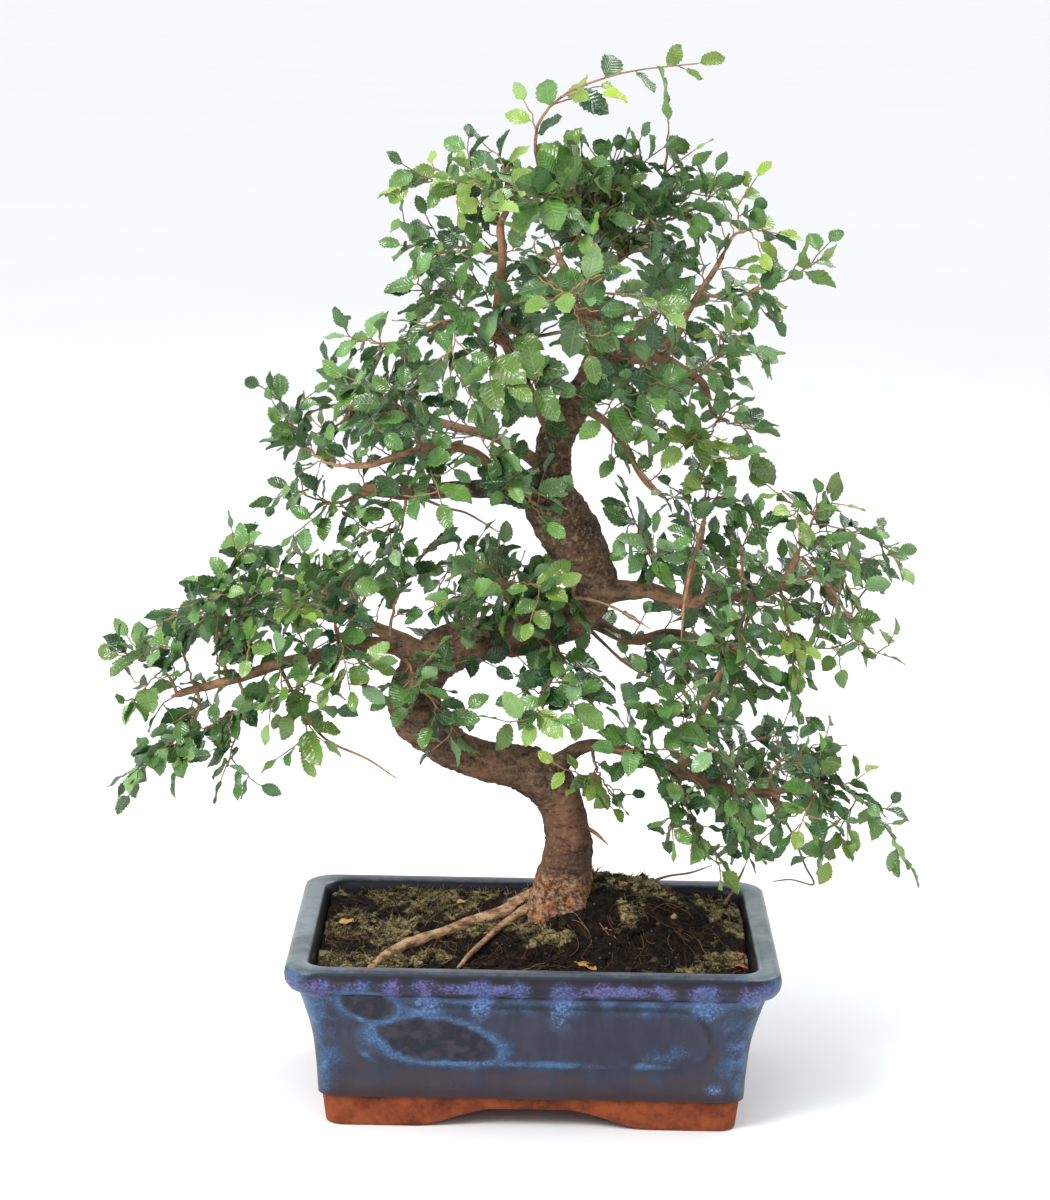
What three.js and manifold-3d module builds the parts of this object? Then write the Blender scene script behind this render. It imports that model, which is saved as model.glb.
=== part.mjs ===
import * as THREE from "three";
import { mergeVertices } from "three/addons/utils/BufferGeometryUtils.js";
import Module from "manifold-3d";

// Chinese elm bonsai in a glazed rectangular pot. Millimetres, +Z up, +X to the right, -Y towards the
// viewer. Everything is laid out from the middle of the pot's foot, and the last lines move the origin to
// the bottom middle of the whole object's box.

// Pot
const POT_LENGTH = 210;
const POT_WIDTH = 150;
const POT_HEIGHT = 73.6;
const POT_CORNER = 13;
const GLAZE_BASE_Z = 14.1;
const FOOT_INSET = 17.2;
const FOOT_RIM = 9;
const UNDERSIDE_Z = 8.4;
const FLOOR_Z = 14;
const RIM_WIDTH = 9.6;
const ARCH_CROWN_HALF = 14;
const ARCH_FOOT_HALF = 52;
const SIDE_ARCH_CROWN_HALF = 8;
const SIDE_ARCH_FOOT_HALF = 28;
const PANEL_LENGTH = 151;
const PANEL_HEIGHT = 29;
const PANEL_Z = 43;
const PANEL_RAISE = 1;
const PANEL_FOOT_INSET = 13.1;
const PANEL_HEAD_INSET = 7;
const DRAIN_X = 48;
const DRAIN_RADIUS = 7;

// Soil and the screens below it
const GAP = 0.3;
const SOIL_EDGE_Z = 65;
const MOUND_HEIGHT = 24;
const MOUND_CENTRE = [32, 20];
const MOUND_SPREAD = [50, 30];
const SCREEN_SIDE = 24;
const SCREEN_THICKNESS = 0.9;
const SCREEN_BAR = 1.6;
const SCREEN_CELLS = 2;

// Foliage
const LEAF_WIDTH_SHARE = 0.56;
const LEAF_THICKNESS = 0.7;
const LEAF_DROOP = 0.14;
const LEAF_STALK = 1.6;
const LEAF_CLEARANCE = 0.5;
const LARGE_LEAF = 17;
const LEAF_STEP_SHARE = 0.55;
const LEAF_FIRST = 2;
const LEAF_EVERY = 9;
const LEAF_BARE = 9;
const LEAF_ATTEMPTS = 8;
const TIP_LEAF_SHARE = 0.85;
const STALK_HALF = 0.32;
const STEM_HALF = 0.85;
const FORK_HALF = 0.42;
const STEM_TIP_HALF = 0.42;
const SEAT_STEP = 0.1;
const SEAT_LENGTH = 2;
const STEM_BOWS = [0.12, 0.03, 0.21, -0.06, 0.3, -0.15, 0.39, -0.24];
const FORK_SHARES = [0, 0.38, 0.56, 0.22];
const TOUCH_VOLUME = 1e-4;
const TREE_AXIS = [8, 4];
const RADIUS_TENSION = 0.3;

// The trunk from its buried end to its leader: x, y, z and radius.
const TRUNK = [
  [12, 8, 44, 9], [12, 8, 60, 13], [12, 8, 74, 14.5], [12, 8, 84, 13.6], [14, 8, 96, 11.8],
  [15, 8, 107, 10.4],
  [13, 8, 120, 9.2], [9, 8, 131, 9.6], [-1, 7, 140, 9.8], [-16, 5, 144, 8.3], [-32, 2, 149, 7.9],
  [-44, 0, 157, 9.6], [-52, -1, 167, 12.2], [-53, 1, 178, 10.8], [-48, 6, 188, 10], [-34, 12, 196, 9.4],
  [-17, 17, 198, 9.2], [1, 19, 201, 9.2], [16, 16, 209, 9.6], [23, 11, 222, 10.4], [19, 6, 235, 11.2],
  [12, 2, 248, 11.6], [4, 0, 261, 12], [3, 1, 270, 9.6], [4, 3, 278, 7.8], [6, 7, 289, 7.4], [13, 9, 301, 7],
  [21, 8, 313, 6.6], [25, 5, 327, 5.9], [23, 2, 338, 5.2], [19, 0, 349, 4.3], [20, 0, 360, 3.2],
];

// Branches, each starting inside the wood that carries it: x, y, z and radius.
const BRANCHES = {
  left_crown_low: [
    [-1, 0, 271, 4.7], [-16, -3, 268, 4.1], [-39, -6, 267, 3.7], [-56, -4, 265, 3.2], [-75, 0, 265, 2.4],
    [-82, 2, 261, 1.5],
  ],
  left_crown_mid: [
    [-16, -3, 268, 2.6], [-27, -12, 283, 2.2], [-43, -20, 288, 1.9], [-60, -22, 284, 1.6],
    [-72, -22, 280, 1.4], [-85, -20, 279, 1.1],
  ],
  left_crown_back: [
    [3, 3, 275, 2.8], [-18, 20, 285, 2.3], [-40, 32, 289, 1.9], [-58, 34, 294, 1.6], [-75, 32, 295, 1.4],
    [-88, 28, 298, 1.1],
  ],
  left_low: [
    [-48, 3, 187, 4.7], [-62, -4, 198, 3.9], [-80, -10, 198, 3.4], [-96, -14, 195, 2.9],
    [-111, -16, 192, 2.5], [-128, -14, 185, 2.1], [-145, -12, 180, 1.8], [-158, -10, 175, 1.4],
  ],
  left_low_back: [
    [-43, 8, 191, 3.6], [-68, 22, 199, 2.9], [-86, 34, 205, 2.4], [-103, 40, 213, 1.9], [-115, 42, 219, 1.4],
  ],
  right_low: [
    [5, 7, 140, 4.4], [19, 2, 153, 2.9], [32, -4, 155, 2.6], [49, -10, 150, 2.5], [66, -12, 145, 2.6],
    [82, -10, 139, 2.4], [97, -6, 136, 2.1], [113, -2, 138, 1.4],
  ],
  right_low_up: [
    [62, -12, 147, 1.9], [66, -6, 157, 1.7], [71, 0, 169, 1.6], [76, 4, 180, 1.6], [81, 2, 191, 1.6],
    [87, 0, 202, 1.4],
  ],
  right_mid: [
    [22, 8, 221, 5.2], [37, 4, 223, 4.1], [50, 0, 223, 3.4], [63, -4, 219, 2.9], [78, -6, 224, 2.5],
    [91, -6, 222, 2.2], [105, -8, 232, 1.9], [111, -8, 245, 1.4],
  ],
  right_mid_end: [
    [78, -6, 224, 2.1], [100, 8, 223, 1.8], [120, 16, 229, 1.5], [127, 16, 220, 1.3], [133, 14, 207, 1.1],
  ],
  right_back: [[20, 16, 208, 3.2], [43, 36, 194, 2.4], [58, 48, 195, 1.9], [75, 58, 190, 1.4]],
  right_stub: [[63, -4, 219, 2.1], [64, -10, 233, 1.7], [67, -14, 245, 1.5], [69, -18, 258, 1.3]],
  crown_left: [
    [8, 4, 290, 3.6], [-4, -10, 307, 2.9], [-13, -20, 325, 2.6], [-19, -26, 343, 2.3], [-19, -28, 355, 2.2],
    [-18, -30, 370, 2], [-19, -30, 382, 1.6], [-15, -30, 391, 1.2],
  ],
  crown_left_arch: [
    [-15, -22, 332, 1.8], [-27, -30, 338, 1.5], [-38, -36, 342, 1.4], [-47, -38, 340, 1.2],
    [-56, -38, 335, 1],
  ],
  crown_right: [
    [24, 6, 321, 3.4], [38, 0, 324, 2.6], [49, -8, 326, 2.2], [61, -14, 320, 1.9], [67, -16, 316, 1.6],
    [70, -16, 307, 1.2],
  ],
  crown_right_up: [
    [47, -7, 326, 1.9], [56, -4, 335, 1.7], [61, 0, 345, 1.6], [67, 2, 355, 1.4], [72, 2, 363, 1.2],
    [76, 2, 371, 1],
  ],
  crown_top: [
    [20, 0, 358, 2.8], [16, -6, 372, 2.1], [9, -12, 381, 1.7], [2, -16, 392, 1.4], [-3, -18, 404, 1.1],
  ],
  crown_top_right: [
    [20, 0, 356, 2.6], [29, 6, 364, 1.9], [40, 12, 373, 1.6], [46, 16, 384, 1.4], [48, 18, 392, 1.1],
  ],
  crown_back: [[24, 3, 331, 3], [20, 30, 341, 2.4], [11, 48, 352, 1.9], [4, 58, 364, 1.4]],
  crown_back_right: [[21, 7, 316, 2.9], [31, 34, 323, 2.2], [44, 50, 333, 1.7], [54, 58, 343, 1.3]],
  crown_front: [[25, 4, 327, 2.8], [19, -22, 338, 2.2], [14, -42, 348, 1.7], [12, -54, 354, 1.3]],
  middle_back: [[0, 18, 201, 3], [-9, 40, 208, 2.2], [-18, 54, 214, 1.7], [-27, 62, 219, 1.3]],
  cross_twig: [
    [14, 8, 303, 2], [26, 1, 297, 1.8], [32, -4, 291, 1.6], [38, -8, 282, 1.4], [44, -11, 273, 1.2],
    [54, -12, 265, 1],
  ],
  dead_stub: [[14, 8, 116, 2.6], [24, 6, 115, 1.6], [31, 4, 110, 1]],
};

// Surface roots, half sunk in the soil: x, y, z and radius.
const ROOTS = [
  [
    [10, 12, 84, 5], [-4, 12, 80, 3.6], [-15, 9, 75.5, 2.9], [-28, 5, 72, 2.7], [-41, -3, 69, 2.6],
    [-56, -15, 66, 2.4], [-64, -29, 65, 2], [-70, -50, 64, 1.2],
  ],
  [
    [10, 6, 82, 3.4], [-4, 2, 79, 2.2], [-12, -3, 75, 1.6], [-19, -13, 71.5, 1.3], [-27, -29, 67.5, 1.1],
    [-33, -49, 65, 0.9],
  ],
  [[14, 6, 82, 4.6], [24, -6, 81, 3.2], [33, -16, 76, 2.4], [40, -27, 70, 1.5]],
  [[16, 10, 83, 4.6], [32, 14, 86, 3], [48, 20, 85, 2.3], [66, 26, 77, 1.4]],
  [[12, 14, 83, 4.4], [8, 28, 83, 3], [-2, 40, 75, 2.2], [-16, 50, 68, 1.3]],
];

// Leafy sprays: the branch each leaves, the share of that branch's length, the leaf length, and the tips
// of its stems. The first tip ends the stem that leaves the branch, and the others fork from it.
const SPRAYS = [
  ["left_low", 0.97, 13, [-180, -6, 192], [-172, -20, 176]],
  ["left_low", 0.88, 13, [-176, -12, 142], [-154, -24, 147]],
  ["left_low", 0.72, 13, [-135, -20, 143], [-146, -6, 157]],
  ["left_low", 0.5, 14, [-98, -26, 158], [-113, -44, 182]],
  ["left_low", 0.76, 12, [-128, -4, 241], [-159, 0, 210], [-142, -24, 220], [-118, -28, 226]],
  ["left_low", 0.33, 12, [-101, -2, 235], [-80, -12, 232], [-105, -36, 220], [-79, -46, 188]],
  ["left_low_back", 0.9, 12, [-150, 58, 211], [-173, 40, 189], [-136, 78, 191], [-120, 68, 219]],
  ["left_low_back", 0.45, 12, [-88, 62, 223], [-96, 84, 200]],
  ["left_low", 0.1, 14, [-35, -26, 166], [-54, -34, 186]],
  ["left_low", 0.16, 13, [-45, 2, 242], [-60, -8, 223]],
  ["trunk", 0.53, 13, [-26, -22, 240], [-36, -36, 225], [2, -26, 228]],
  ["trunk", 0.56, 13, [16, -32, 175], [-2, -40, 174]],
  ["middle_back", 1, 12, [-28, 92, 218], [-45, 82, 211], [2, 78, 210]],
  ["right_low", 0.2, 11, [33, -8, 134], [24, -18, 142]],
  ["right_low", 0.4, 14, [48, -34, 161], [37, -26, 170]],
  ["right_low", 0.55, 12, [78, -22, 112], [59, -14, 125]],
  ["right_low", 0.75, 12, [91, -14, 113], [83, -46, 160]],
  ["right_low", 0.9, 11, [124, 0, 156], [112, -30, 155]],
  ["right_low", 1, 12, [163, -2, 105], [138, 6, 135], [128, -10, 108], [112, -38, 129]],
  ["right_low", 0.7, 12, [106, 34, 152], [119, 48, 119], [90, 46, 110], [73, 34, 127]],
  ["right_mid", 1, 12, [121, -10, 268], [147, -8, 247], [105, -26, 264], [131, -28, 231]],
  ["right_mid_end", 1, 13, [149, 12, 195], [130, 20, 192]],
  ["right_mid_end", 0.55, 12, [141, 34, 232], [116, 50, 211]],
  ["right_mid_end", 0.3, 12, [112, 12, 178], [107, -16, 206]],
  ["right_mid", 0.72, 12, [90, -22, 259], [84, -38, 211]],
  ["right_stub", 1, 12, [68, -16, 276], [85, -2, 264]],
  ["right_mid", 0.25, 13, [37, -14, 263], [48, -34, 243]],
  ["right_mid", 0.5, 12, [88, 32, 232], [71, 44, 236]],
  ["right_low_up", 0.4, 13, [50, -24, 179], [61, -30, 168]],
  ["right_low_up", 0.95, 12, [84, -14, 184], [74, -34, 207]],
  ["right_back", 0.85, 12, [88, 82, 162], [100, 72, 187], [51, 66, 169], [68, 70, 210]],
  ["left_crown_low", 1, 11, [-108, 6, 265], [-94, -8, 255]],
  ["left_crown_low", 0.62, 12, [-63, -10, 237], [-81, -16, 243]],
  ["left_crown_mid", 1, 11, [-111, -4, 303], [-110, -14, 288]],
  ["left_crown_mid", 0.5, 13, [-84, -8, 315], [-72, -44, 302], [-53, -34, 314], [-42, -40, 268]],
  ["left_crown_back", 0.85, 12, [-107, 46, 279], [-92, 50, 304], [-64, 64, 302], [-55, 72, 276]],
  ["trunk", 0.71, 14, [-14, -34, 281], [-26, -46, 297]],
  ["crown_left_arch", 1, 11, [-82, -30, 335], [-68, -46, 327]],
  ["crown_left_arch", 0.4, 13, [-54, -44, 356], [-38, -60, 324]],
  ["crown_left", 0.4, 19, [-22, -56, 322], [-3, -50, 319]],
  ["crown_left", 0.72, 12, [-60, -18, 372], [-48, -44, 369]],
  ["crown_left", 1, 12, [-38, -28, 400], [-61, -22, 396], [-16, -24, 407], [-27, -50, 394]],
  ["crown_top", 1, 13, [61, -18, 449], [20, -22, 436]],
  ["crown_top", 0.65, 17, [11, -34, 402], [-5, -46, 394]],
  ["crown_top_right", 1, 13, [51, 18, 422], [40, 30, 399]],
  ["crown_top_right", 0.7, 13, [73, 14, 395], [62, 36, 378]],
  ["crown_right_up", 1, 12, [97, 2, 378], [80, 10, 389]],
  ["crown_right_up", 0.55, 12, [114, 0, 366], [94, -14, 351]],
  ["crown_right", 0.72, 12, [90, -10, 329], [79, -32, 343]],
  ["crown_right", 1, 14, [87, -16, 297], [66, -22, 282], [58, -36, 292]],
  ["crown_right", 0.35, 14, [44, -50, 315], [24, -44, 304]],
  ["crown_front", 1, 14, [2, -72, 356], [22, -66, 366], [18, -68, 335], [39, -56, 355]],
  ["crown_back", 0.95, 13, [6, 76, 367], [-16, 70, 354], [-11, 72, 323], [23, 58, 378]],
  ["crown_back_right", 0.95, 13, [64, 72, 350], [46, 62, 369], [69, 60, 307], [43, 72, 301]],
];

const COLOURS = { pot: 0x2b3f6b, soil: 0x2a2119, screen: 0x1c1c1c, wood: 0x6b5341, leaf: 0x3f7a2e };

const wasm = await Module();
wasm.setup();

const vec = (p) => new THREE.Vector3(p[0], p[1], p[2]);

// A seeded draw between 0 and 1: the fraction left by a large multiple of a sine.
function draw(seed, index) {
  const wave = Math.sin(seed * 12.9898 + index * 78.233) * 43758.5453;
  return wave - Math.floor(wave);
}

function solidOf(geometry) {
  const bare = geometry.clone();
  for (const name of Object.keys(bare.attributes)) if (name !== "position") bare.deleteAttribute(name);
  const merged = mergeVertices(bare, 1e-4);
  const vertProperties = new Float32Array(merged.attributes.position.array);
  const triVerts = new Uint32Array(merged.index.array);
  return new wasm.Manifold(new wasm.Mesh({ numProp: 3, vertProperties, triVerts }));
}

function geometryOf(solid) {
  const mesh = solid.getMesh();
  const positions = new Float32Array(mesh.numVert * 3);
  for (let i = 0; i < mesh.numVert; i++) {
    positions.set(mesh.vertProperties.subarray(i * mesh.numProp, i * mesh.numProp + 3), i * 3);
  }
  const geometry = new THREE.BufferGeometry();
  geometry.setAttribute("position", new THREE.BufferAttribute(positions, 3));
  geometry.setIndex(new THREE.BufferAttribute(mesh.triVerts, 1));
  return geometry;
}

// A closed skin over rings of equally many points, with a fan over the first and the last ring.
// The points run counter-clockwise as seen from the end that the rings climb towards.
function loft(rings) {
  const count = rings[0].length;
  const positions = rings.flat().flatMap((p) => [p.x, p.y, p.z]);
  const index = [];
  for (let r = 0; r < rings.length - 1; r++) {
    for (let i = 0; i < count; i++) {
      const a = r * count + i;
      const b = r * count + ((i + 1) % count);
      index.push(a, b, b + count, a, b + count, a + count);
    }
  }
  const last = (rings.length - 1) * count;
  for (let i = 1; i < count - 1; i++) index.push(0, i + 1, i, last, last + i, last + i + 1);
  const geometry = new THREE.BufferGeometry();
  geometry.setAttribute("position", new THREE.Float32BufferAttribute(positions, 3));
  return geometry.setIndex(index);
}

// A tube through points, with a ring square to the path at each, turned as little as it can be from one
// to the next.
function tube(points, radii, sides, shape = () => 1) {
  const last = points.length - 1;
  let side = new THREE.Vector3(1, 0, 0);
  const rings = points.map((point, i) => {
    const along = points[Math.min(i + 1, last)].clone().sub(points[Math.max(i - 1, 0)]).normalize();
    if (Math.abs(side.dot(along)) > 0.95) side = new THREE.Vector3(0, 1, 0);
    side = side.clone().addScaledVector(along, -side.dot(along)).normalize();
    const across = along.clone().cross(side);
    return Array.from({ length: sides }, (_, k) => {
      const angle = (2 * Math.PI * k) / sides;
      const radius = radii[i] * shape(angle, i / last);
      return point.clone()
        .addScaledVector(side, radius * Math.cos(angle))
        .addScaledVector(across, radius * Math.sin(angle));
    });
  });
  return solidOf(loft(rings));
}

// Points and radii at even steps along a smooth curve through hand-set stations.
function stations(rows, steps) {
  const curve = new THREE.CatmullRomCurve3(rows.map(vec), false, "centripetal");
  const radiusRows = rows.map((row) => new THREE.Vector3(row[3], 0, 0));
  const radiusCurve = new THREE.CatmullRomCurve3(radiusRows, false, "catmullrom", RADIUS_TENSION);
  const points = [];
  const radii = [];
  for (let i = 0; i <= steps; i++) {
    points.push(curve.getPoint(i / steps));
    radii.push(radiusCurve.getPoint(i / steps).x);
  }
  return { points, radii };
}

// Pot

// A rectangle with rounded corners at height z, reaching halfX and halfY from the middle.
function roundedRing(halfX, halfY, corner, z, steps = 3) {
  const ring = [];
  [[1, 1], [-1, 1], [-1, -1], [1, -1]].forEach(([sx, sy], quarter) => {
    for (let i = 0; i <= steps; i++) {
      const angle = (Math.PI / 2) * (quarter + i / steps);
      ring.push(new THREE.Vector3(
        sx * (halfX - corner) + corner * Math.cos(angle),
        sy * (halfY - corner) + corner * Math.sin(angle),
        z,
      ));
    }
  });
  return ring;
}

// Rings for an inset profile: each station is a height and how far it lies inside the rim's outer edge.
function insetLoft(profile) {
  return solidOf(loft(profile.map(([z, inset]) => roundedRing(
    POT_LENGTH / 2 - inset, POT_WIDTH / 2 - inset, Math.max(POT_CORNER - inset * 0.3, 4), z,
  ))));
}

const POT_OUTSIDE = [
  [0, FOOT_INSET + 0.8], [0.8, FOOT_INSET], [GLAZE_BASE_Z - 0.6, FOOT_INSET - 1.6],
  [GLAZE_BASE_Z, FOOT_INSET - 3.2], [26, 13.2], [40, 11.6], [52, 8.6], [61.2, 5.2], [63, 2], [66, 0.4],
  [69.5, 0], [72.4, 0.7], [POT_HEIGHT, 2.2],
];
const POT_INSIDE = [
  [FLOOR_Z, 20.5], [40, 17], [66, 11.4], [72.2, RIM_WIDTH + 0.6], [POT_HEIGHT + 0.1, RIM_WIDTH - 1.6],
];

// The open mouth of an arch between two feet: flat at the crown, with an S-shaped run down to each foot.
function archCutter(crownHalf, footHalf, height, reach) {
  const shape = new THREE.Shape();
  shape.moveTo(-footHalf, -1);
  shape.lineTo(footHalf, -1);
  const steps = 4;
  for (let i = 0; i <= steps; i++) {
    const t = i / steps;
    shape.lineTo(footHalf + (crownHalf - footHalf) * t, (height * (1 - Math.cos(Math.PI * t))) / 2);
  }
  for (let i = steps; i >= 0; i--) {
    const t = i / steps;
    shape.lineTo(-footHalf - (crownHalf - footHalf) * t, (height * (1 - Math.cos(Math.PI * t))) / 2);
  }
  const geometry = new THREE.ExtrudeGeometry(shape, { depth: 2 * reach, bevelEnabled: false });
  return geometry.translate(0, 0, -reach).rotateX(Math.PI / 2);
}

// A stadium-shaped plate laid against the sloping wall, so that its face stands out by the raise.
function panel() {
  const half = PANEL_HEIGHT / 2;
  const straight = PANEL_LENGTH / 2 - half;
  const shape = new THREE.Shape();
  shape.absarc(straight, 0, half - PANEL_RAISE, -Math.PI / 2, Math.PI / 2, false);
  shape.absarc(-straight, 0, half - PANEL_RAISE, Math.PI / 2, (3 * Math.PI) / 2, false);
  const depth = 3;
  const slope = Math.atan2(PANEL_FOOT_INSET - PANEL_HEAD_INSET, PANEL_HEIGHT);
  const geometry = new THREE.ExtrudeGeometry(shape, {
    depth, curveSegments: 6, bevelSegments: 1, bevelThickness: PANEL_RAISE, bevelSize: PANEL_RAISE,
  });
  const middleInset = (PANEL_FOOT_INSET + PANEL_HEAD_INSET) / 2;
  geometry.translate(0, 0, -depth).rotateX(Math.PI / 2 + slope);
  return geometry.translate(0, -(POT_WIDTH / 2 - middleInset), PANEL_Z);
}

function makePot() {
  const recessInset = FOOT_INSET + FOOT_RIM;
  const recess = insetLoft([[-1, recessInset], [UNDERSIDE_Z, recessInset]]);
  const front = panel();
  const longArch = archCutter(ARCH_CROWN_HALF, ARCH_FOOT_HALF, UNDERSIDE_Z, POT_WIDTH);
  const shortArch = archCutter(SIDE_ARCH_CROWN_HALF, SIDE_ARCH_FOOT_HALF, UNDERSIDE_Z, POT_LENGTH);
  let pot = insetLoft(POT_OUTSIDE)
    .add(solidOf(front))
    .add(solidOf(front.clone().rotateZ(Math.PI)))
    .subtract(insetLoft(POT_INSIDE))
    .subtract(recess)
    .subtract(solidOf(longArch))
    .subtract(solidOf(shortArch.rotateZ(Math.PI / 2)));
  for (const x of [-DRAIN_X, DRAIN_X]) {
    const drain = new THREE.CylinderGeometry(DRAIN_RADIUS, DRAIN_RADIUS, 2 * FLOOR_Z, 12);
    pot = pot.subtract(solidOf(drain.rotateX(Math.PI / 2).translate(x, 0, FLOOR_Z)));
  }
  return pot;
}

// A square mesh moulded from crossing bars, lying over a drain hole.
function screenSolid(x) {
  const half = SCREEN_SIDE / 2;
  const pitch = (SCREEN_SIDE - SCREEN_BAR) / SCREEN_CELLS;
  let screen;
  for (let i = 0; i <= SCREEN_CELLS; i++) {
    const offset = SCREEN_BAR / 2 - half + pitch * i;
    for (const turn of [0, Math.PI / 2]) {
      const bar = new THREE.BoxGeometry(SCREEN_SIDE, SCREEN_BAR, SCREEN_THICKNESS).translate(0, offset, 0);
      const solid = solidOf(bar.rotateZ(turn).translate(x, 0, FLOOR_Z + GAP + SCREEN_THICKNESS / 2));
      screen = screen ? screen.add(solid) : solid;
    }
  }
  return screen;
}

// The room that a screen takes up in the foot of the soil.
function screenPocket(x) {
  const side = SCREEN_SIDE + 2 * GAP;
  const depth = 2 * (SCREEN_THICKNESS + 2 * GAP);
  return solidOf(new THREE.BoxGeometry(side, side, depth).translate(x, 0, FLOOR_Z));
}

// Wood

// The trunk's section: five root lobes that fade as it rises, over slow swellings along it.
function trunkSection(angle, share) {
  const lobes = 0.16 * Math.exp(-share / 0.1) * Math.cos(5 * angle + 0.6);
  const swelling = 0.05 * Math.sin(3 * angle + 17 * share) + 0.04 * Math.sin(2 * angle - 31 * share);
  return 1 + lobes + swelling;
}

const trunkPath = stations(TRUNK, 31);
const paths = { trunk: trunkPath };
for (const [name, rows] of Object.entries(BRANCHES)) paths[name] = stations(rows, rows.length - 1);

function trunkSolid(grow) {
  return tube(trunkPath.points, trunkPath.radii.map((r) => r + grow), 10, trunkSection);
}

function rootSolid(rows, grow) {
  const { points, radii } = stations(rows, rows.length - 1);
  return tube(points, radii.map((r) => r + grow), 5);
}

function makeWood() {
  let wood = trunkSolid(0);
  for (const rows of ROOTS) wood = wood.add(rootSolid(rows, 0));
  for (const name of Object.keys(BRANCHES)) {
    const { points, radii } = paths[name];
    wood = wood.add(tube(points, radii, radii[0] > 3.9 ? 6 : 4));
  }
  return wood;
}

const wood = makeWood();

// Soil

function soilHeight(x, y) {
  const u = (x - MOUND_CENTRE[0]) / MOUND_SPREAD[0];
  const v = (y - MOUND_CENTRE[1]) / MOUND_SPREAD[1];
  const crumbs = 0.7 * Math.sin(0.19 * x + 1) * Math.sin(0.23 * y) + 0.5 * Math.sin(0.41 * x - 0.3 * y);
  return SOIL_EDGE_Z + MOUND_HEIGHT * Math.exp(-u * u - v * v) + crumbs;
}

// A block whose top follows the soil's height over a grid, and whose foot is flat.
function moundBlock() {
  const [columns, lines] = [12, 8];
  const halfX = POT_LENGTH / 2;
  const halfY = POT_WIDTH / 2;
  const box = new THREE.BoxGeometry(2 * halfX, 2 * halfY, 2 * POT_HEIGHT, columns, lines, 1);
  const position = box.attributes.position;
  for (let i = 0; i < position.count; i++) {
    if (position.getZ(i) > 0) position.setZ(i, soilHeight(position.getX(i), position.getY(i)));
  }
  return solidOf(box);
}

function makeSoil() {
  const walls = POT_INSIDE.slice(0, 3).map(([z, inset], i) => [i ? z : z + GAP, inset + GAP]);
  walls.push([POT_HEIGHT + MOUND_HEIGHT, walls[2][1]]);
  let soil = insetLoft(walls).intersect(moundBlock()).subtract(trunkSolid(GAP));
  for (const rows of ROOTS) soil = soil.subtract(rootSolid(rows, GAP));
  for (const x of [-DRAIN_X, DRAIN_X]) soil = soil.subtract(screenPocket(x));
  return soil;
}

// Foliage

// Half-widths along a blade from near its base to its tip, as shares of its length and of its half-width:
// a small leaf has a plain edge, and a large one has a notch after each tooth.
function leafEdge(length) {
  if (length < LARGE_LEAF) return [[0.27, 0.88], [0.64, 0.96], [1, 0.1]];
  return [
    [0.16, 0.66], [0.32, 1], [0.35, 0.9], [0.54, 1.04], [0.57, 0.93], [0.74, 0.84], [0.77, 0.72], [1, 0.1],
  ];
}

// Four corners round a point, square to a heading, in the same order as a blade's corners.
function squareRing(point, heading, side, halfWidth, halfThickness) {
  const across = side.clone().addScaledVector(heading, -side.dot(heading)).normalize();
  const face = heading.clone().cross(across);
  return [[1, 1], [-1, 1], [-1, -1], [1, -1]].map(([u, v]) => (
    point.clone().addScaledVector(across, u * halfWidth).addScaledVector(face, v * halfThickness)));
}

// The rings of a blade that grows along a leaf's own X axis, as wide as its Y, and sinks towards its tip.
// A guard makes it wider and thicker, to test for clear room.
function bladeRings(length, leaf, guard = 0) {
  const [direction, across, face] = [leaf.direction, leaf.across, leaf.face];
  return leafEdge(length).map(([t, w]) => {
    const reach = LEAF_STALK + t * (length + guard);
    const point = leaf.root.clone().addScaledVector(direction, reach);
    point.addScaledVector(face, -LEAF_DROOP * length * t * t);
    const halfWidth = (w * length * LEAF_WIDTH_SHARE) / 2 + guard;
    return squareRing(point, direction, across, halfWidth, LEAF_THICKNESS / 2 + guard);
  });
}

// A leaf with its stalk, rooted in the middle of its stem.
function leafSolid(length, leaf, guard = 0) {
  const start = squareRing(leaf.root, leaf.direction, leaf.across, STALK_HALF, STALK_HALF);
  return solidOf(loft([start, ...bladeRings(length, leaf, guard)]));
}

// A stem's course: it leaves its base along the lead direction and bends over to its tip.
function stemCourse(base, lead, tip, bow) {
  const reach = base.distanceTo(tip);
  const middle = base.clone().addScaledVector(lead, reach * 0.4);
  middle.z += reach * bow;
  const curve = new THREE.QuadraticBezierCurve3(base, middle, tip);
  const shares = [0, 0.5, 1];
  const points = shares.map((share) => curve.getPoint(share));
  const headings = shares.map((share) => curve.getTangent(share));
  return { points, headings, length: points[0].distanceTo(points[1]) + points[1].distanceTo(points[2]) };
}

// The point and heading at a share of a course's length.
function alongCourse(course, share) {
  const { points, length } = course;
  const first = points[0].distanceTo(points[1]) / length;
  const late = share > first;
  const [from, to] = late ? [points[1], points[2]] : [points[0], points[1]];
  const part = late ? (share - first) / (1 - first) : share / first;
  return { point: from.clone().lerp(to, part), heading: to.clone().sub(from).normalize() };
}

// A stem that runs out into the blade at its tip.
function stemSolid(course, halfWidth, leaf, length) {
  const { points, headings } = course;
  const halves = [halfWidth, (halfWidth + STEM_TIP_HALF) / 2, STEM_TIP_HALF];
  const rings = halves.map((half, i) => squareRing(points[i], headings[i], leaf.across, half, half));
  return solidOf(loft([...rings, ...bladeRings(length, leaf)]));
}

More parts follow.
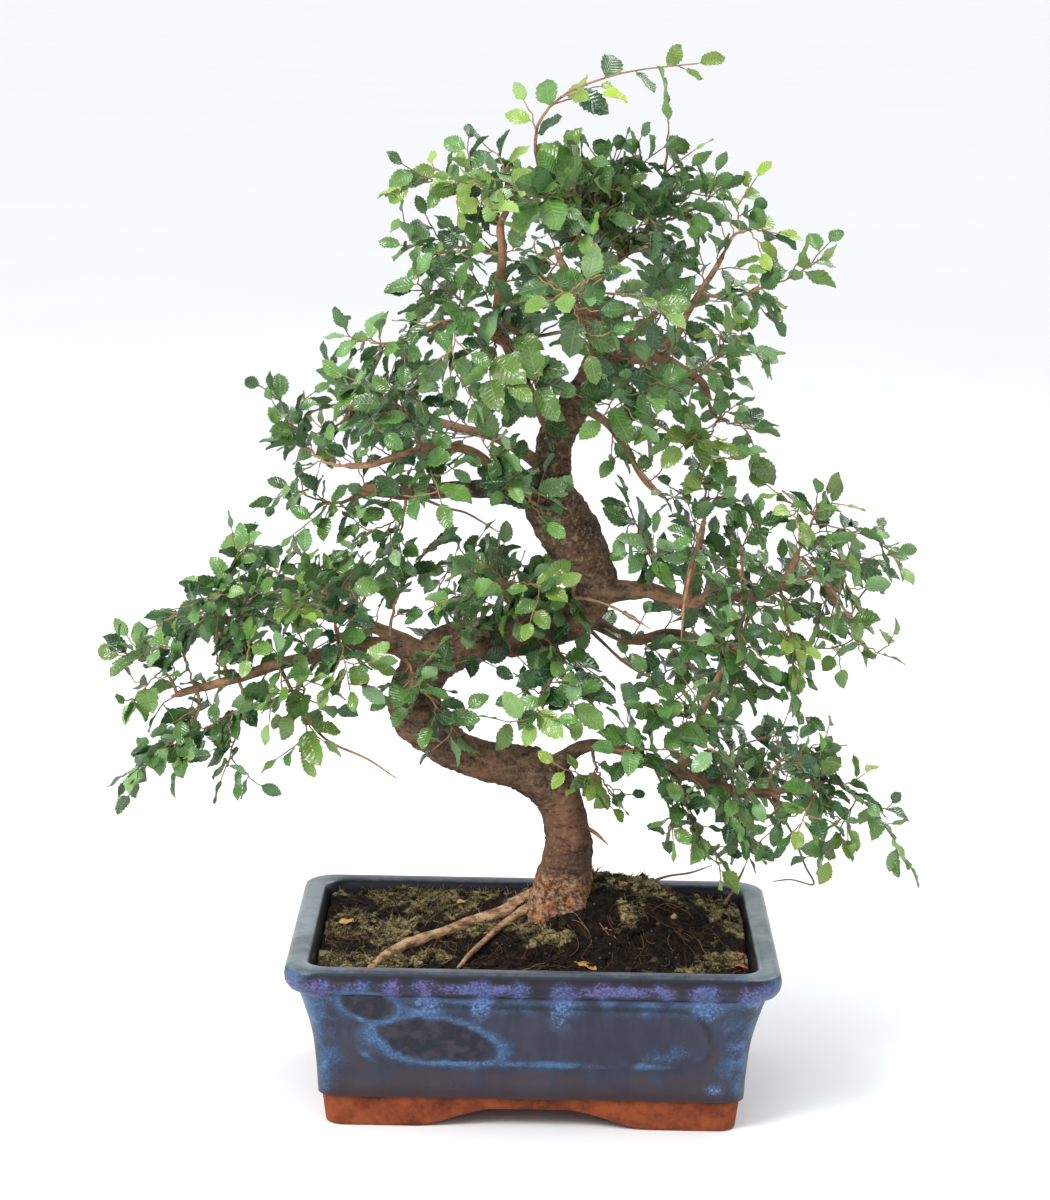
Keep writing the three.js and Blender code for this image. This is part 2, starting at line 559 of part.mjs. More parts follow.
// The first point out along a lead, from a start inside the wood, where a stem's root lies just clear of
// the bark.
function seat(start, lead) {
  const side = new THREE.Vector3(-lead.y, lead.x, 0.01).normalize();
  for (let out = 0; ; out += SEAT_STEP) {
    const foot = start.clone().addScaledVector(lead, out);
    const top = foot.clone().addScaledVector(lead, SEAT_LENGTH);
    const ends = [foot, top].map((point) => squareRing(point, lead, side, STEM_HALF, STEM_HALF));
    if (wood.intersect(solidOf(loft(ends))).volume() < TOUCH_VOLUME) return foot.addScaledVector(lead, GAP);
  }
}

// Where a spray leaves its branch: square to it, or in line with the branch's end.
function rooting(branch, share, tip) {
  const { points } = paths[branch];
  const at = share * (points.length - 1);
  const low = Math.min(Math.floor(at), points.length - 2);
  const centre = points[low].clone().lerp(points[low + 1], at - low);
  const heading = points[low + 1].clone().sub(points[low]).normalize();
  const lead = share === 1 ? heading : tip.clone().sub(centre);
  if (share < 1) lead.addScaledVector(heading, -lead.dot(heading)).normalize();
  return { base: seat(centre, lead), lead };
}

// A leaf's place: it leans out from the stem to either side in turn, or carries the stem on at its tip, and
// its face looks up and away from the tree's middle. Each has a seeded swing.
function leafPlace(root, heading, order, seed, attempt) {
  const swing = (k) => draw(seed + 0.37 * attempt, order * 5 + k) - 0.5;
  const outward = new THREE.Vector3(root.x - TREE_AXIS[0], root.y - TREE_AXIS[1], 0).normalize();
  const face = new THREE.Vector3(0.9 * swing(1), 0.9 * swing(2), 0.6 + 0.8 * swing(3));
  face.addScaledVector(outward, 0.7).normalize();
  const sideways = face.clone().cross(heading).normalize();
  const lean = order === 0 ? 0.5 * swing(4) : (order % 2 ? 1 : -1) * (0.95 + 0.4 * swing(4));
  const direction = heading.clone().multiplyScalar(Math.cos(lean));
  direction.addScaledVector(sideways, Math.sin(lean));
  face.addScaledVector(direction, -direction.dot(face)).normalize();
  return { root, direction, across: face.clone().cross(direction), face };
}

const boxOf = (solid) => {
  const { min, max } = solid.boundingBox();
  return new THREE.Box3(vec(min), vec(max));
};

// Everything placed so far with its box, so that each new piece can be tested for room.
const placed = [];
const place = (solid) => placed.push({ solid, box: boxOf(solid) });
function hasRoom(solid, joined) {
  const box = boxOf(solid);
  return placed.every((other) => joined.includes(other.solid) || !box.intersectsBox(other.box)
    || solid.intersect(other.solid).volume() < TOUCH_VOLUME);
}

function growStems(spray, number) {
  const [branch, share, leafLength, ...tips] = spray;
  const root = rooting(branch, share, vec(tips[0]));
  const stems = [];
  tips.forEach((tip, k) => {
    const start = k ? alongCourse(stems[0].course, FORK_SHARES[k]).point : root.base;
    const lead = k ? vec(tip).sub(start).normalize() : root.lead;
    const seed = number * 7 + k;
    for (let attempt = 0; attempt < STEM_BOWS.length; attempt++) {
      const course = stemCourse(start, lead, vec(tip), STEM_BOWS[attempt]);
      const leaf = leafPlace(course.points[2], course.headings[2], 0, seed, attempt);
      const solid = stemSolid(course, k ? FORK_HALF : STEM_HALF, leaf, leafLength * TIP_LEAF_SHARE);
      const joined = stems.map((stem) => stem.solid);
      const guard = leafSolid(leafLength * TIP_LEAF_SHARE, leaf, LEAF_CLEARANCE);
      if (!hasRoom(solid, joined) || !hasRoom(guard, [])) continue;
      stems.push({ course, solid, seed });
      place(solid);
      place(leafSolid(leafLength * TIP_LEAF_SHARE, leaf));
      return;
    }
    if (!k) throw new Error(branch + " at " + share + " has no room for its stem");
  });
  return stems;
}

function growLeaves(stems, leafLength) {
  const leaves = [];
  const step = leafLength * LEAF_STEP_SHARE;
  for (const { course, solid: stem, seed } of stems) {
    const count = Math.floor((course.length - LEAF_BARE) / step);
    for (let order = LEAF_FIRST; order <= count; order += LEAF_EVERY) {
      const size = leafLength * (0.9 + 0.35 * draw(seed, order));
      const { point, heading } = alongCourse(course, 1 - (order * step) / course.length);
      for (let attempt = 0; attempt < LEAF_ATTEMPTS; attempt++) {
        const leaf = leafPlace(point, heading, order, seed, attempt);
        if (!hasRoom(leafSolid(size, leaf, LEAF_CLEARANCE), [stem])) continue;
        const solid = leafSolid(size, leaf);
        place(solid);
        leaves.push(solid);
        break;
      }
    }
  }
  return leaves;
}

// Assembly

const tree = new THREE.Group();

function addMesh(name, solid, colour, roughness) {
  const material = new THREE.MeshStandardMaterial({ color: colour, roughness, metalness: 0 });
  const mesh = new THREE.Mesh(geometryOf(solid), material);
  mesh.name = name;
  tree.add(mesh);
}

const pot = makePot();
const soil = makeSoil();
addMesh("pot", pot, COLOURS.pot, 0.25);
addMesh("soil", soil, COLOURS.soil, 0.95);
addMesh("drain_screen_left", screenSolid(-DRAIN_X), COLOURS.screen, 0.6);
addMesh("drain_screen_right", screenSolid(DRAIN_X), COLOURS.screen, 0.6);
addMesh("wood", wood, COLOURS.wood, 0.85);
[pot, soil, wood].forEach(place);

const grown = SPRAYS.map((spray, number) => growStems(spray, number));
const tally = {};
SPRAYS.forEach((spray, number) => {
  const stems = grown[number];
  const leaves = growLeaves(stems, spray[2]);
  const solid = wasm.Manifold.union([...stems.map((s) => s.solid), ...leaves]);
  tally[spray[0]] = (tally[spray[0]] ?? 0) + 1;
  addMesh(spray[0] + "_spray_" + tally[spray[0]], solid, COLOURS.leaf, 0.45);
});

// The origin moves to the bottom middle of the whole object's box.
const whole = new THREE.Box3().setFromObject(tree);
const middle = whole.getCenter(new THREE.Vector3());
tree.position.set(-middle.x, -middle.y, -whole.min.z);

export default tree;
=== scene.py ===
"""Chinese elm bonsai in its glazed pot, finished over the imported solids.

The frame is in metres. The tree's own lists are in millimetres from the middle of the pot's foot, and
to_frame() carries them into the frame. +X is to the right, -Y is towards the viewer and +Z is up.
"""

import enum
import logging
from collections.abc import Iterator, Sequence
from dataclasses import dataclass, field
from typing import Any

import bpy
import numpy as np
from mathutils import Matrix, Vector


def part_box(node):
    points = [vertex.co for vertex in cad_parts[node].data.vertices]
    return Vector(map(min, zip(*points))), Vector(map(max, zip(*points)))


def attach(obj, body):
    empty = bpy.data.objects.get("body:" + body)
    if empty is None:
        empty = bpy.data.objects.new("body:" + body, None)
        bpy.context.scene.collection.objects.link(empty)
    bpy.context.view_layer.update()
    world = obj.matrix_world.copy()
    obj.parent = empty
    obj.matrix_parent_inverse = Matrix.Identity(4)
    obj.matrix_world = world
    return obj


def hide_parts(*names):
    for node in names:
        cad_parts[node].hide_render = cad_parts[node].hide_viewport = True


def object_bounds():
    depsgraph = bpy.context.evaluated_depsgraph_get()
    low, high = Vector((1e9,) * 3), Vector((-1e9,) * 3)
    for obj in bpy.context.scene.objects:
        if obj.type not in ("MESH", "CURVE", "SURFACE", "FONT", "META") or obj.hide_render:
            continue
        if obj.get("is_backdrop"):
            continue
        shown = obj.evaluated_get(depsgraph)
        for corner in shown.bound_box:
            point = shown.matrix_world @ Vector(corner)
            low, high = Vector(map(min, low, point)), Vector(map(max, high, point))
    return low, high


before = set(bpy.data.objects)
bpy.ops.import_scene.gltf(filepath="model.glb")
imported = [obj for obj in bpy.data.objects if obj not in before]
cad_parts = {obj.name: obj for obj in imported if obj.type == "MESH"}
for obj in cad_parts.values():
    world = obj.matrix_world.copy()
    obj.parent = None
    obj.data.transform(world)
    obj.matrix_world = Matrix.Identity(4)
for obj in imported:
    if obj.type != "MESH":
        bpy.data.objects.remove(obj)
CAD_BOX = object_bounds()

LOG = logging.getLogger("bonsai")
MM = 0.001
POT_LOW, POT_HIGH = (np.array(corner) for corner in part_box("pot"))
POT_MIDDLE = (POT_LOW + POT_HIGH) / 2 * (1, 1, 0)
UNCREASED = 180

Array = np.ndarray
Material = bpy.types.Material
Options = dict[Any, Any]
Pair = tuple[float, float]
Row = tuple[float, ...]
Colour = tuple[float, float, float]

# The trunk from its buried end to its leader: x, y, z and radius, in millimetres.
TRUNK: list[Row] = [
    (12, 8, 44, 9), (12, 8, 60, 13), (12, 8, 74, 14.5), (12, 8, 84, 13.6), (14, 8, 96, 11.8),
    (15, 8, 107, 10.4), (13, 8, 120, 9.2), (9, 8, 131, 9.6), (-1, 7, 140, 9.8), (-16, 5, 144, 8.3),
    (-32, 2, 149, 7.9), (-44, 0, 157, 9.6), (-52, -1, 167, 12.2), (-53, 1, 178, 10.8),
    (-48, 6, 188, 10), (-34, 12, 196, 9.4), (-17, 17, 198, 9.2), (1, 19, 201, 9.2),
    (16, 16, 209, 9.6), (23, 11, 222, 10.4), (19, 6, 235, 11.2), (12, 2, 248, 11.6),
    (4, 0, 261, 12), (3, 1, 270, 9.6), (4, 3, 278, 7.8), (6, 7, 289, 7.4), (13, 9, 301, 7),
    (21, 8, 313, 6.6), (25, 5, 327, 5.9), (23, 2, 338, 5.2), (19, 0, 349, 4.3), (20, 0, 360, 3.2),
]

# Branches, each starting inside the wood that carries it.
BRANCHES: dict[str, list[Row]] = {
    "left_crown_low": [
        (-1, 0, 271, 4.7), (-16, -3, 268, 4.1), (-39, -6, 267, 3.7), (-56, -4, 265, 3.2),
        (-75, 0, 265, 2.4), (-82, 2, 261, 1.5),
    ],
    "left_crown_mid": [
        (-16, -3, 268, 2.6), (-27, -12, 283, 2.2), (-43, -20, 288, 1.9), (-60, -22, 284, 1.6),
        (-72, -22, 280, 1.4), (-85, -20, 279, 1.1),
    ],
    "left_crown_back": [
        (3, 3, 275, 2.8), (-18, 20, 285, 2.3), (-40, 32, 289, 1.9), (-58, 34, 294, 1.6),
        (-75, 32, 295, 1.4), (-88, 28, 298, 1.1),
    ],
    "left_low": [
        (-48, 3, 187, 4.7), (-62, -4, 198, 3.9), (-80, -10, 198, 3.4), (-96, -14, 195, 2.9),
        (-111, -16, 192, 2.5), (-128, -14, 185, 2.1), (-145, -12, 180, 1.8), (-158, -10, 175, 1.4),
    ],
    "left_low_back": [
        (-43, 8, 191, 3.6), (-68, 22, 199, 2.9), (-86, 34, 205, 2.4), (-103, 40, 213, 1.9),
        (-115, 42, 219, 1.4),
    ],
    "right_low": [
        (5, 7, 140, 4.4), (19, 2, 153, 2.9), (32, -4, 155, 2.6), (49, -10, 150, 2.5),
        (66, -12, 145, 2.6), (82, -10, 139, 2.4), (97, -6, 136, 2.1), (113, -2, 138, 1.4),
    ],
    "right_low_up": [
        (62, -12, 147, 1.9), (66, -6, 157, 1.7), (71, 0, 169, 1.6), (76, 4, 180, 1.6),
        (81, 2, 191, 1.6), (87, 0, 202, 1.4),
    ],
    "right_mid": [
        (22, 8, 221, 5.2), (37, 4, 223, 4.1), (50, 0, 223, 3.4), (63, -4, 219, 2.9),
        (78, -6, 224, 2.5), (91, -6, 222, 2.2), (105, -8, 232, 1.9), (111, -8, 245, 1.4),
    ],
    "right_mid_end": [
        (78, -6, 224, 2.1), (100, 8, 223, 1.8), (120, 16, 229, 1.5), (127, 16, 220, 1.3),
        (133, 14, 207, 1.1),
    ],
    "right_back": [(20, 16, 208, 3.2), (43, 36, 194, 2.4), (58, 48, 195, 1.9), (75, 58, 190, 1.4)],
    "right_stub": [(63, -4, 219, 2.1), (64, -10, 233, 1.7), (67, -14, 245, 1.5), (69, -18, 258, 1.3)],
    "crown_left": [
        (8, 4, 290, 3.6), (-4, -10, 307, 2.9), (-13, -20, 325, 2.6), (-19, -26, 343, 2.3),
        (-19, -28, 355, 2.2), (-18, -30, 370, 2), (-19, -30, 382, 1.6), (-15, -30, 391, 1.2),
    ],
    "crown_left_arch": [
        (-15, -22, 332, 1.8), (-27, -30, 338, 1.5), (-38, -36, 342, 1.4), (-47, -38, 340, 1.2),
        (-56, -38, 335, 1),
    ],
    "crown_right": [
        (24, 6, 321, 3.4), (38, 0, 324, 2.6), (49, -8, 326, 2.2), (61, -14, 320, 1.9),
        (67, -16, 316, 1.6), (70, -16, 307, 1.2),
    ],
    "crown_right_up": [
        (47, -7, 326, 1.9), (56, -4, 335, 1.7), (61, 0, 345, 1.6), (67, 2, 355, 1.4),
        (72, 2, 363, 1.2), (76, 2, 371, 1),
    ],
    "crown_top": [
        (20, 0, 358, 2.8), (16, -6, 372, 2.1), (9, -12, 381, 1.7), (2, -16, 392, 1.4),
        (-3, -18, 404, 1.1),
    ],
    "crown_top_right": [
        (20, 0, 356, 2.6), (29, 6, 364, 1.9), (40, 12, 373, 1.6), (46, 16, 384, 1.4),
        (48, 18, 392, 1.1),
    ],
    "crown_back": [(24, 3, 331, 3), (20, 30, 341, 2.4), (11, 48, 352, 1.9), (4, 58, 364, 1.4)],
    "crown_back_right": [(21, 7, 316, 2.9), (31, 34, 323, 2.2), (44, 50, 333, 1.7), (54, 58, 343, 1.3)],
    "crown_front": [(25, 4, 327, 2.8), (19, -22, 338, 2.2), (14, -42, 348, 1.7), (12, -54, 354, 1.3)],
    "middle_back": [(0, 18, 201, 3), (-9, 40, 208, 2.2), (-18, 54, 214, 1.7), (-27, 62, 219, 1.3)],
    "cross_twig": [
        (14, 8, 303, 2), (26, 1, 297, 1.8), (32, -4, 291, 1.6), (38, -8, 282, 1.4),
        (44, -11, 273, 1.2), (54, -12, 265, 1),
    ],
    "dead_stub": [(14, 8, 116, 1.6), (24, 6, 115, 0.95), (32, 4, 109, 0.6)],
}

# Surface roots, half sunk in the soil.
ROOTS: list[list[Row]] = [
    [
        (10, 12, 84, 5), (-4, 12, 80, 3.6), (-15, 9, 75.5, 2.9), (-28, 5, 72, 2.7), (-41, -3, 69, 2.6),
        (-56, -15, 67, 2.5), (-64, -29, 66.4, 2.2), (-71, -52, 66, 1.5),
    ],
    [
        (10, 6, 82, 3.4), (-4, 2, 79, 2.2), (-12, -3, 75, 1.6), (-19, -13, 71.5, 1.3),
        (-27, -29, 68.3, 1.1), (-33, -49, 66.4, 0.8),
    ],
    [(14, 6, 76, 4.6), (24, -6, 69, 3.2), (33, -16, 64, 2.4), (40, -27, 60, 1.5)],
    [(16, 10, 83, 4.6), (32, 14, 86, 3), (48, 20, 85, 2.3), (66, 26, 77, 1.4)],
    [(12, 14, 83, 4.4), (8, 28, 83, 3), (-2, 40, 75, 2.2), (-16, 50, 68, 1.3)],
]

# Thin twigs without leaves. Each starts inside the wood that carries it, and two stand in the soil.
BARE_TWIGS: list[list[Row]] = [
    [(92, -8, 137, 0.9), (103, -12, 137, 0.8), (105, -14, 133, 0.7), (99, -18, 128, 0.6),
     (90, -20, 128, 0.4)],
    [(50, -10, 150, 0.8), (56, 0, 135, 0.6), (58, 4, 127, 0.5), (62, 8, 119, 0.5), (73, 12, 105, 0.35)],
    [(60, -11, 147, 0.8), (64, -12, 134, 0.6), (68, -14, 127, 0.5), (70, -15, 119, 0.5),
     (67, -16, 112, 0.35)],
    [(-111, -16, 191, 0.9), (-100, -20, 172, 0.7), (-91, -22, 161, 0.6), (-72, -26, 153, 0.5),
     (-60, -30, 146, 0.3)],
    [(112, -8, 240, 0.8), (126, -8, 226, 0.7), (133, -8, 216, 0.6), (136, -10, 223, 0.5),
     (140, -12, 229, 0.45), (146, -14, 234, 0.3)],
    [(-56, -4, 265, 0.9), (-41, -10, 260, 0.6), (-32, -16, 259, 0.5), (-25, -20, 256, 0.45),
     (-18, -22, 252, 0.3)],
    [(-19, -26, 343, 1.1), (-9, -26, 336, 0.9), (6, -28, 338, 0.8), (23, -34, 343, 0.7),
     (39, -38, 349, 0.6), (48, -40, 353, 0.35)],
    [(34, -5, 289, 0.9), (39, -22, 282, 0.7), (45, -28, 276, 0.6), (52, -32, 269, 0.35)],
    [(16, 5, 231, 1.2), (15, -12, 223, 0.8), (21, -18, 223, 0.7), (31, -24, 221, 0.6), (40, -28, 217, 0.5),
     (47, -30, 213, 0.35)],
    [(69, -17, 257, 0.9), (66, -26, 249, 0.8), (63, -30, 237, 0.8), (61, -32, 225, 0.7),
     (60, -33, 209, 0.4)],
    [(91, -6, 221, 0.9), (87, -10, 205, 0.7), (83, -12, 194, 0.6), (76, -16, 177, 0.35)],
    [(17, 15, 208, 1.1), (27, 16, 198, 0.8), (37, 20, 188, 0.7), (45, 24, 182, 0.6), (55, 26, 177, 0.35)],
    [(99, -5, 137, 0.8), (112, 8, 116, 0.6), (120, 17, 97, 0.5), (124, 20, 88, 0.4), (114, 20, 90, 0.35),
     (106, 20, 89, 0.3)],
    [(80, 39, 62, 0.9), (83, 40, 68, 0.8), (88, 42, 75, 0.7), (92, 44, 82, 0.6), (96, 46, 91, 0.4)],
    [(48, 37, 76, 0.8), (54, 38, 83, 0.7), (61, 40, 85, 0.6), (70, 42, 86, 0.5), (80, 44, 89, 0.35)],
]

# Leafy sprays: the branch each leaves, the share of its length, the leaf length, and the stems' tips.
# The first tip ends the stem that leaves the branch, and the others fork from it.
SPRAYS: list[tuple[Any, ...]] = [
    ("left_low", 0.97, 13, (-180, -6, 192), (-172, -20, 176)),
    ("left_low", 0.88, 13, (-176, -12, 142), (-154, -24, 147)),
    ("left_low", 0.72, 13, (-135, -20, 143), (-146, -6, 157)),
    ("left_low", 0.5, 14, (-98, -26, 158), (-113, -44, 182)),
    ("left_low", 0.76, 12, (-128, -4, 241), (-159, 0, 210), (-142, -24, 220), (-118, -28, 226)),
    ("left_low", 0.33, 12, (-101, -2, 235), (-80, -12, 232), (-105, -36, 220), (-79, -46, 188)),
    ("left_low_back", 0.9, 12, (-150, 58, 211), (-173, 40, 189), (-136, 78, 191), (-120, 68, 219)),
    ("left_low_back", 0.45, 12, (-88, 62, 223), (-96, 84, 200)),
    ("left_low", 0.1, 14, (-35, -26, 166), (-54, -34, 186)),
    ("left_low", 0.16, 13, (-45, 2, 242), (-60, -8, 223)),
    ("trunk", 0.53, 13, (-26, -22, 240), (-36, -36, 225), (2, -26, 228)),
    ("trunk", 0.56, 13, (16, -32, 175), (-2, -40, 174)),
    ("middle_back", 1, 12, (-28, 92, 218), (-45, 82, 211), (2, 78, 210)),
    ("right_low", 0.2, 11, (33, -8, 134), (24, -18, 142)),
    ("right_low", 0.4, 14, (48, -34, 161), (37, -26, 170)),
    ("right_low", 0.55, 12, (78, -22, 112), (59, -14, 125)),
    ("right_low", 0.75, 12, (91, -14, 113), (83, -46, 160)),
    ("right_low", 0.9, 11, (124, 0, 156), (112, -30, 155)),
    ("right_low", 1, 12, (163, -2, 105), (138, 6, 135), (128, -10, 108), (112, -38, 129)),
    ("right_low", 0.7, 12, (106, 34, 152), (119, 48, 119), (90, 46, 110), (73, 34, 127)),
    ("right_mid", 1, 12, (121, -10, 268), (147, -8, 247), (105, -26, 264), (131, -28, 231)),
    ("right_mid_end", 1, 13, (149, 12, 195), (130, 20, 192)),
    ("right_mid_end", 0.55, 12, (141, 34, 232), (116, 50, 211)),
    ("right_mid_end", 0.3, 12, (112, 12, 178), (107, -16, 206)),
    ("right_mid", 0.72, 12, (90, -22, 259), (84, -38, 211)),
    ("right_stub", 1, 12, (68, -16, 276), (85, -2, 264)),
    ("right_mid", 0.25, 13, (37, -14, 263), (48, -34, 243)),
    ("right_mid", 0.5, 12, (88, 32, 232), (71, 44, 236)),
    ("right_low_up", 0.4, 13, (50, -24, 179), (61, -30, 168)),
    ("right_low_up", 0.95, 12, (84, -14, 184), (74, -34, 207)),
    ("right_back", 0.85, 12, (88, 82, 162), (100, 72, 187), (51, 66, 169), (68, 70, 210)),
    ("left_crown_low", 1, 11, (-108, 6, 265), (-94, -8, 255)),
    ("left_crown_low", 0.62, 12, (-63, -10, 237), (-81, -16, 243)),
    ("left_crown_mid", 1, 11, (-111, -4, 303), (-110, -14, 288)),
    ("left_crown_mid", 0.5, 13, (-84, -8, 315), (-72, -44, 302), (-53, -34, 314), (-42, -40, 268)),
    ("left_crown_back", 0.85, 12, (-107, 46, 279), (-92, 50, 304), (-64, 64, 302), (-55, 72, 276)),
    ("trunk", 0.71, 14, (-14, -34, 281), (-26, -46, 297)),
    ("crown_left_arch", 1, 11, (-82, -30, 335), (-68, -46, 327)),
    ("crown_left_arch", 0.4, 13, (-54, -44, 356), (-38, -60, 324)),
    ("crown_left", 0.4, 19, (-22, -56, 322), (-3, -50, 319)),
    ("crown_left", 0.72, 12, (-60, -18, 372), (-48, -44, 369)),
    ("crown_left", 1, 12, (-38, -28, 400), (-61, -22, 396), (-16, -24, 407), (-27, -50, 394)),
    ("crown_top", 1, 13, (61, -18, 449), (20, -22, 436)),
    ("crown_top", 0.65, 17, (11, -34, 402), (-5, -46, 394)),
    ("crown_top_right", 1, 13, (51, 18, 422), (40, 30, 399)),
    ("crown_top_right", 0.7, 13, (73, 14, 395), (62, 36, 378)),
    ("crown_right_up", 1, 12, (97, 2, 378), (80, 10, 389)),
    ("crown_right_up", 0.55, 12, (114, 0, 366), (94, -14, 351)),
    ("crown_right", 0.72, 12, (90, -10, 329), (79, -32, 343)),
    ("crown_right", 1, 14, (87, -16, 297), (66, -22, 282), (58, -36, 292)),
    ("crown_right", 0.35, 14, (44, -50, 315), (24, -44, 304)),
    ("crown_front", 1, 14, (2, -72, 356), (22, -66, 366), (18, -68, 335), (39, -56, 355)),
    ("crown_back", 0.95, 13, (6, 76, 367), (-16, 70, 354), (-11, 72, 323), (23, 58, 378)),
    ("crown_back_right", 0.95, 13, (64, 72, 350), (46, 62, 369), (69, 60, 307), (43, 72, 301)),
]

# Longer shoots that fill a pad between its sprays: the share of the branch's length, and the tip.
PAD_SHOOTS: dict[str, list[tuple[float, Row]]] = {
    "crown_top": [
        (0.1, (29, -6, 400)), (0.2, (22, -14, 406)), (0.35, (14, -20, 408)), (0.3, (30, 2, 410)),
        (0.6, (8, -24, 412)),
    ],
    "crown_top_right": [
        (0.15, (34, -4, 396)), (0.3, (24, 12, 402)), (0.45, (36, 4, 408)), (0.6, (60, 8, 404)),
        (0.3, (44, -6, 388)),
    ],
    "left_low": [(0.8, (-138, -24, 205)), (0.9, (-154, -14, 200)), (0.7, (-122, -32, 206))],
}

# Stems that bow clear of a neighbour: the spray's place in the list, the stem's, and the try it takes.
PASSING_STEMS = {(31, 0): 1, (36, 1): 5, (46, 1): 6}
STEM_BOWS = (0.12, 0.03, 0.21, -0.06, 0.3, -0.15, 0.39, -0.24)
FORK_SHARES = (0, 0.38, 0.56, 0.22)
TREE_AXIS = np.array((8.0, 4.0, 0.0))


def to_frame(points: Array) -> Array:
    """Carries points in millimetres from the pot's middle into the frame, in metres."""
    return POT_MIDDLE + MM * np.asarray(points, float)


def unit(vectors: Array) -> Array:
    """Vectors along the last axis, each made one long."""
    return vectors / np.maximum(np.linalg.norm(vectors, axis=-1, keepdims=True), 1e-12)


def smooth_step(values: Array, low: float, high: float) -> Array:
    """An S-shaped rise from 0 at low to 1 at high: 3t squared less 2t cubed, with t kept from 0 to 1."""
    share = np.clip((values - low) / (high - low), 0, 1)
    return share * share * (3 - 2 * share)


def band(values: Array, low: float, full: float, fade: float, high: float) -> Array:
    """1 from full to fade, easing to 0 down at low and up at high."""
    return smooth_step(values, low, full) * smooth_step(-values, -high, -fade)


def strongest(*layers: Array) -> Array:
    """The largest of several layers at each point."""
    return np.max(np.broadcast_arrays(*layers), axis=0)


def stripe(values: Array, middle: float, full: float, end: float) -> Array:
    """1 within full of the middle, easing to 0 at end away from it."""
    return smooth_step(-np.abs(values - middle), -end, -full)


def bell(*spans: tuple[Array, float, float]) -> Array:
    """A hump: e to the minus sum of squares, each of a value's distance from its middle over its spread."""
    return np.exp(-sum(((values - middle) / spread) ** 2 for values, middle, spread in spans))


def spot(x: Array, y: Array, row: Row) -> Array:
    """A hump over two directions: its middle and spread along one, then along the other."""
    return bell((x, *row[:2]), (y, *row[2:]))


def draw(seed: Any, index: Any) -> Any:
    """A seeded draw between 0 and 1: the fraction left by a large multiple of a sine.

    Args:
        seed: The number, or numbers, that name a run of draws.
        index: The place, or places, in the run.

    Returns:
        The draws.
    """
    wave = np.sin(np.multiply(seed, 12.9898) + np.multiply(index, 78.233)) * 43758.5453
    return wave - np.floor(wave)


def lattice_noise(points: Array, seed: float) -> Array:
    """Smooth noise from -1 to 1: a draw at each corner of a unit lattice, eased between the corners.

    Args:
        points: Points along the last axis, in cells.
        seed: The seed of the draws.

    Returns:
        The noise at each point.
    """
    cell = np.floor(points)
    part = points - cell
    part = part * part * (3 - 2 * part)
    total = np.zeros(points.shape[:-1])
    for corner in np.ndindex(2, 2, 2):
        weight = np.prod(np.where(corner, part, 1 - part), axis=-1)
        total += weight * draw(seed, (cell + corner) @ np.array((1.0, 57.0, 113.0)))
    return 2 * total - 1


def layered_noise(points: Array, octaves: int, seed: float) -> Array:
    """Noise at several scales: each octave is twice as fine and half as strong as the one before."""
    layers = [lattice_noise(points * 2**k + 17 * k, seed + k) / 2**k for k in range(octaves)]
    return np.sum(layers, axis=0)


def smooth_course(rows: Sequence[Row], count: int) -> Array:
    """A smooth curve through stations, blended between four of them at a time.

    The knots grow by the square root of the distance between stations, so the curve never loops.

    Args:
        rows: The stations: x, y, z and any further columns.
        count: How many rows the curve has.

    Returns:
        The curve's rows.
    """
    inner = np.asarray(rows, float)
    all_rows = np.vstack([2 * inner[:1] - inner[1:2], inner, 2 * inner[-1:] - inner[-2:-1]])
    knots = np.concatenate([[0], np.cumsum(np.sqrt(steps_along(all_rows)))])
    at = np.linspace(knots[1], knots[-2], count)
    low = np.clip(np.searchsorted(knots, at, side="right") - 1, 1, len(inner) - 1)

    def between(start: Array, end: Array, first: Array, last: Array) -> Array:
        """Rows between first and last, by how far along the knots they lie."""
        share = (at - knots[start]) / (knots[end] - knots[start])
        return first + (last - first) * share[:, None]

    before, after, later = low - 1, low + 1, low + 2
    early = between(before, low, all_rows[before], all_rows[low])
    middle = between(low, after, all_rows[low], all_rows[after])
    late = between(after, later, all_rows[after], all_rows[later])
    return between(low, after, between(before, after, early, middle), between(low, later, middle, late))


def steps_along(path: Array) -> Array:
    """The distances between the points of a path, one after another."""
    return np.linalg.norm(np.diff(path[:, :3], axis=0), axis=1)


def spread_points(*parts: Any) -> Array:
    """Points from their coordinates, spread to one shape."""
    return np.stack(np.broadcast_arrays(*parts), axis=-1)


def run_along(path: Array) -> Array:
    """How far along a path each of its points lies."""
    return np.concatenate([[0], np.cumsum(steps_along(path))])


def full_turn(sides: int) -> Array:
    """Angles that share out a full turn."""
    return np.linspace(0, 2 * np.pi, sides, endpoint=False)


def tube_grid(path: Array, radii: Array, sides: int) -> Array:
    """Rings round a path: point + side x radius x cosine + across x radius x sine.

    The side is the axis that the path turns towards least, made square to it at each ring.

    Args:
        path: The centre line.
        radii: A radius for each ring, or for each of its points.
        sides: How many points a ring has.

    Returns:
        Rings by sides by 3.
    """
    along = unit(np.gradient(path, axis=0))
    axis = np.eye(3)[np.argmin(np.abs(along).max(axis=0))]
    side = unit(axis - along * (along @ axis)[:, None])
    across = np.cross(along, side)
    angle = full_turn(sides)[:, None]
    rim = side[:, None] * np.cos(angle) + across[:, None] * np.sin(angle)
    return path[:, None] + rim * np.reshape(radii, (len(path), -1, 1))


def to_frame_tube(path: Array, radii: Array, sides: int) -> Array:
    """A tube grid in the frame from a path and radii in millimetres."""
    return to_frame(tube_grid(path, radii, sides))


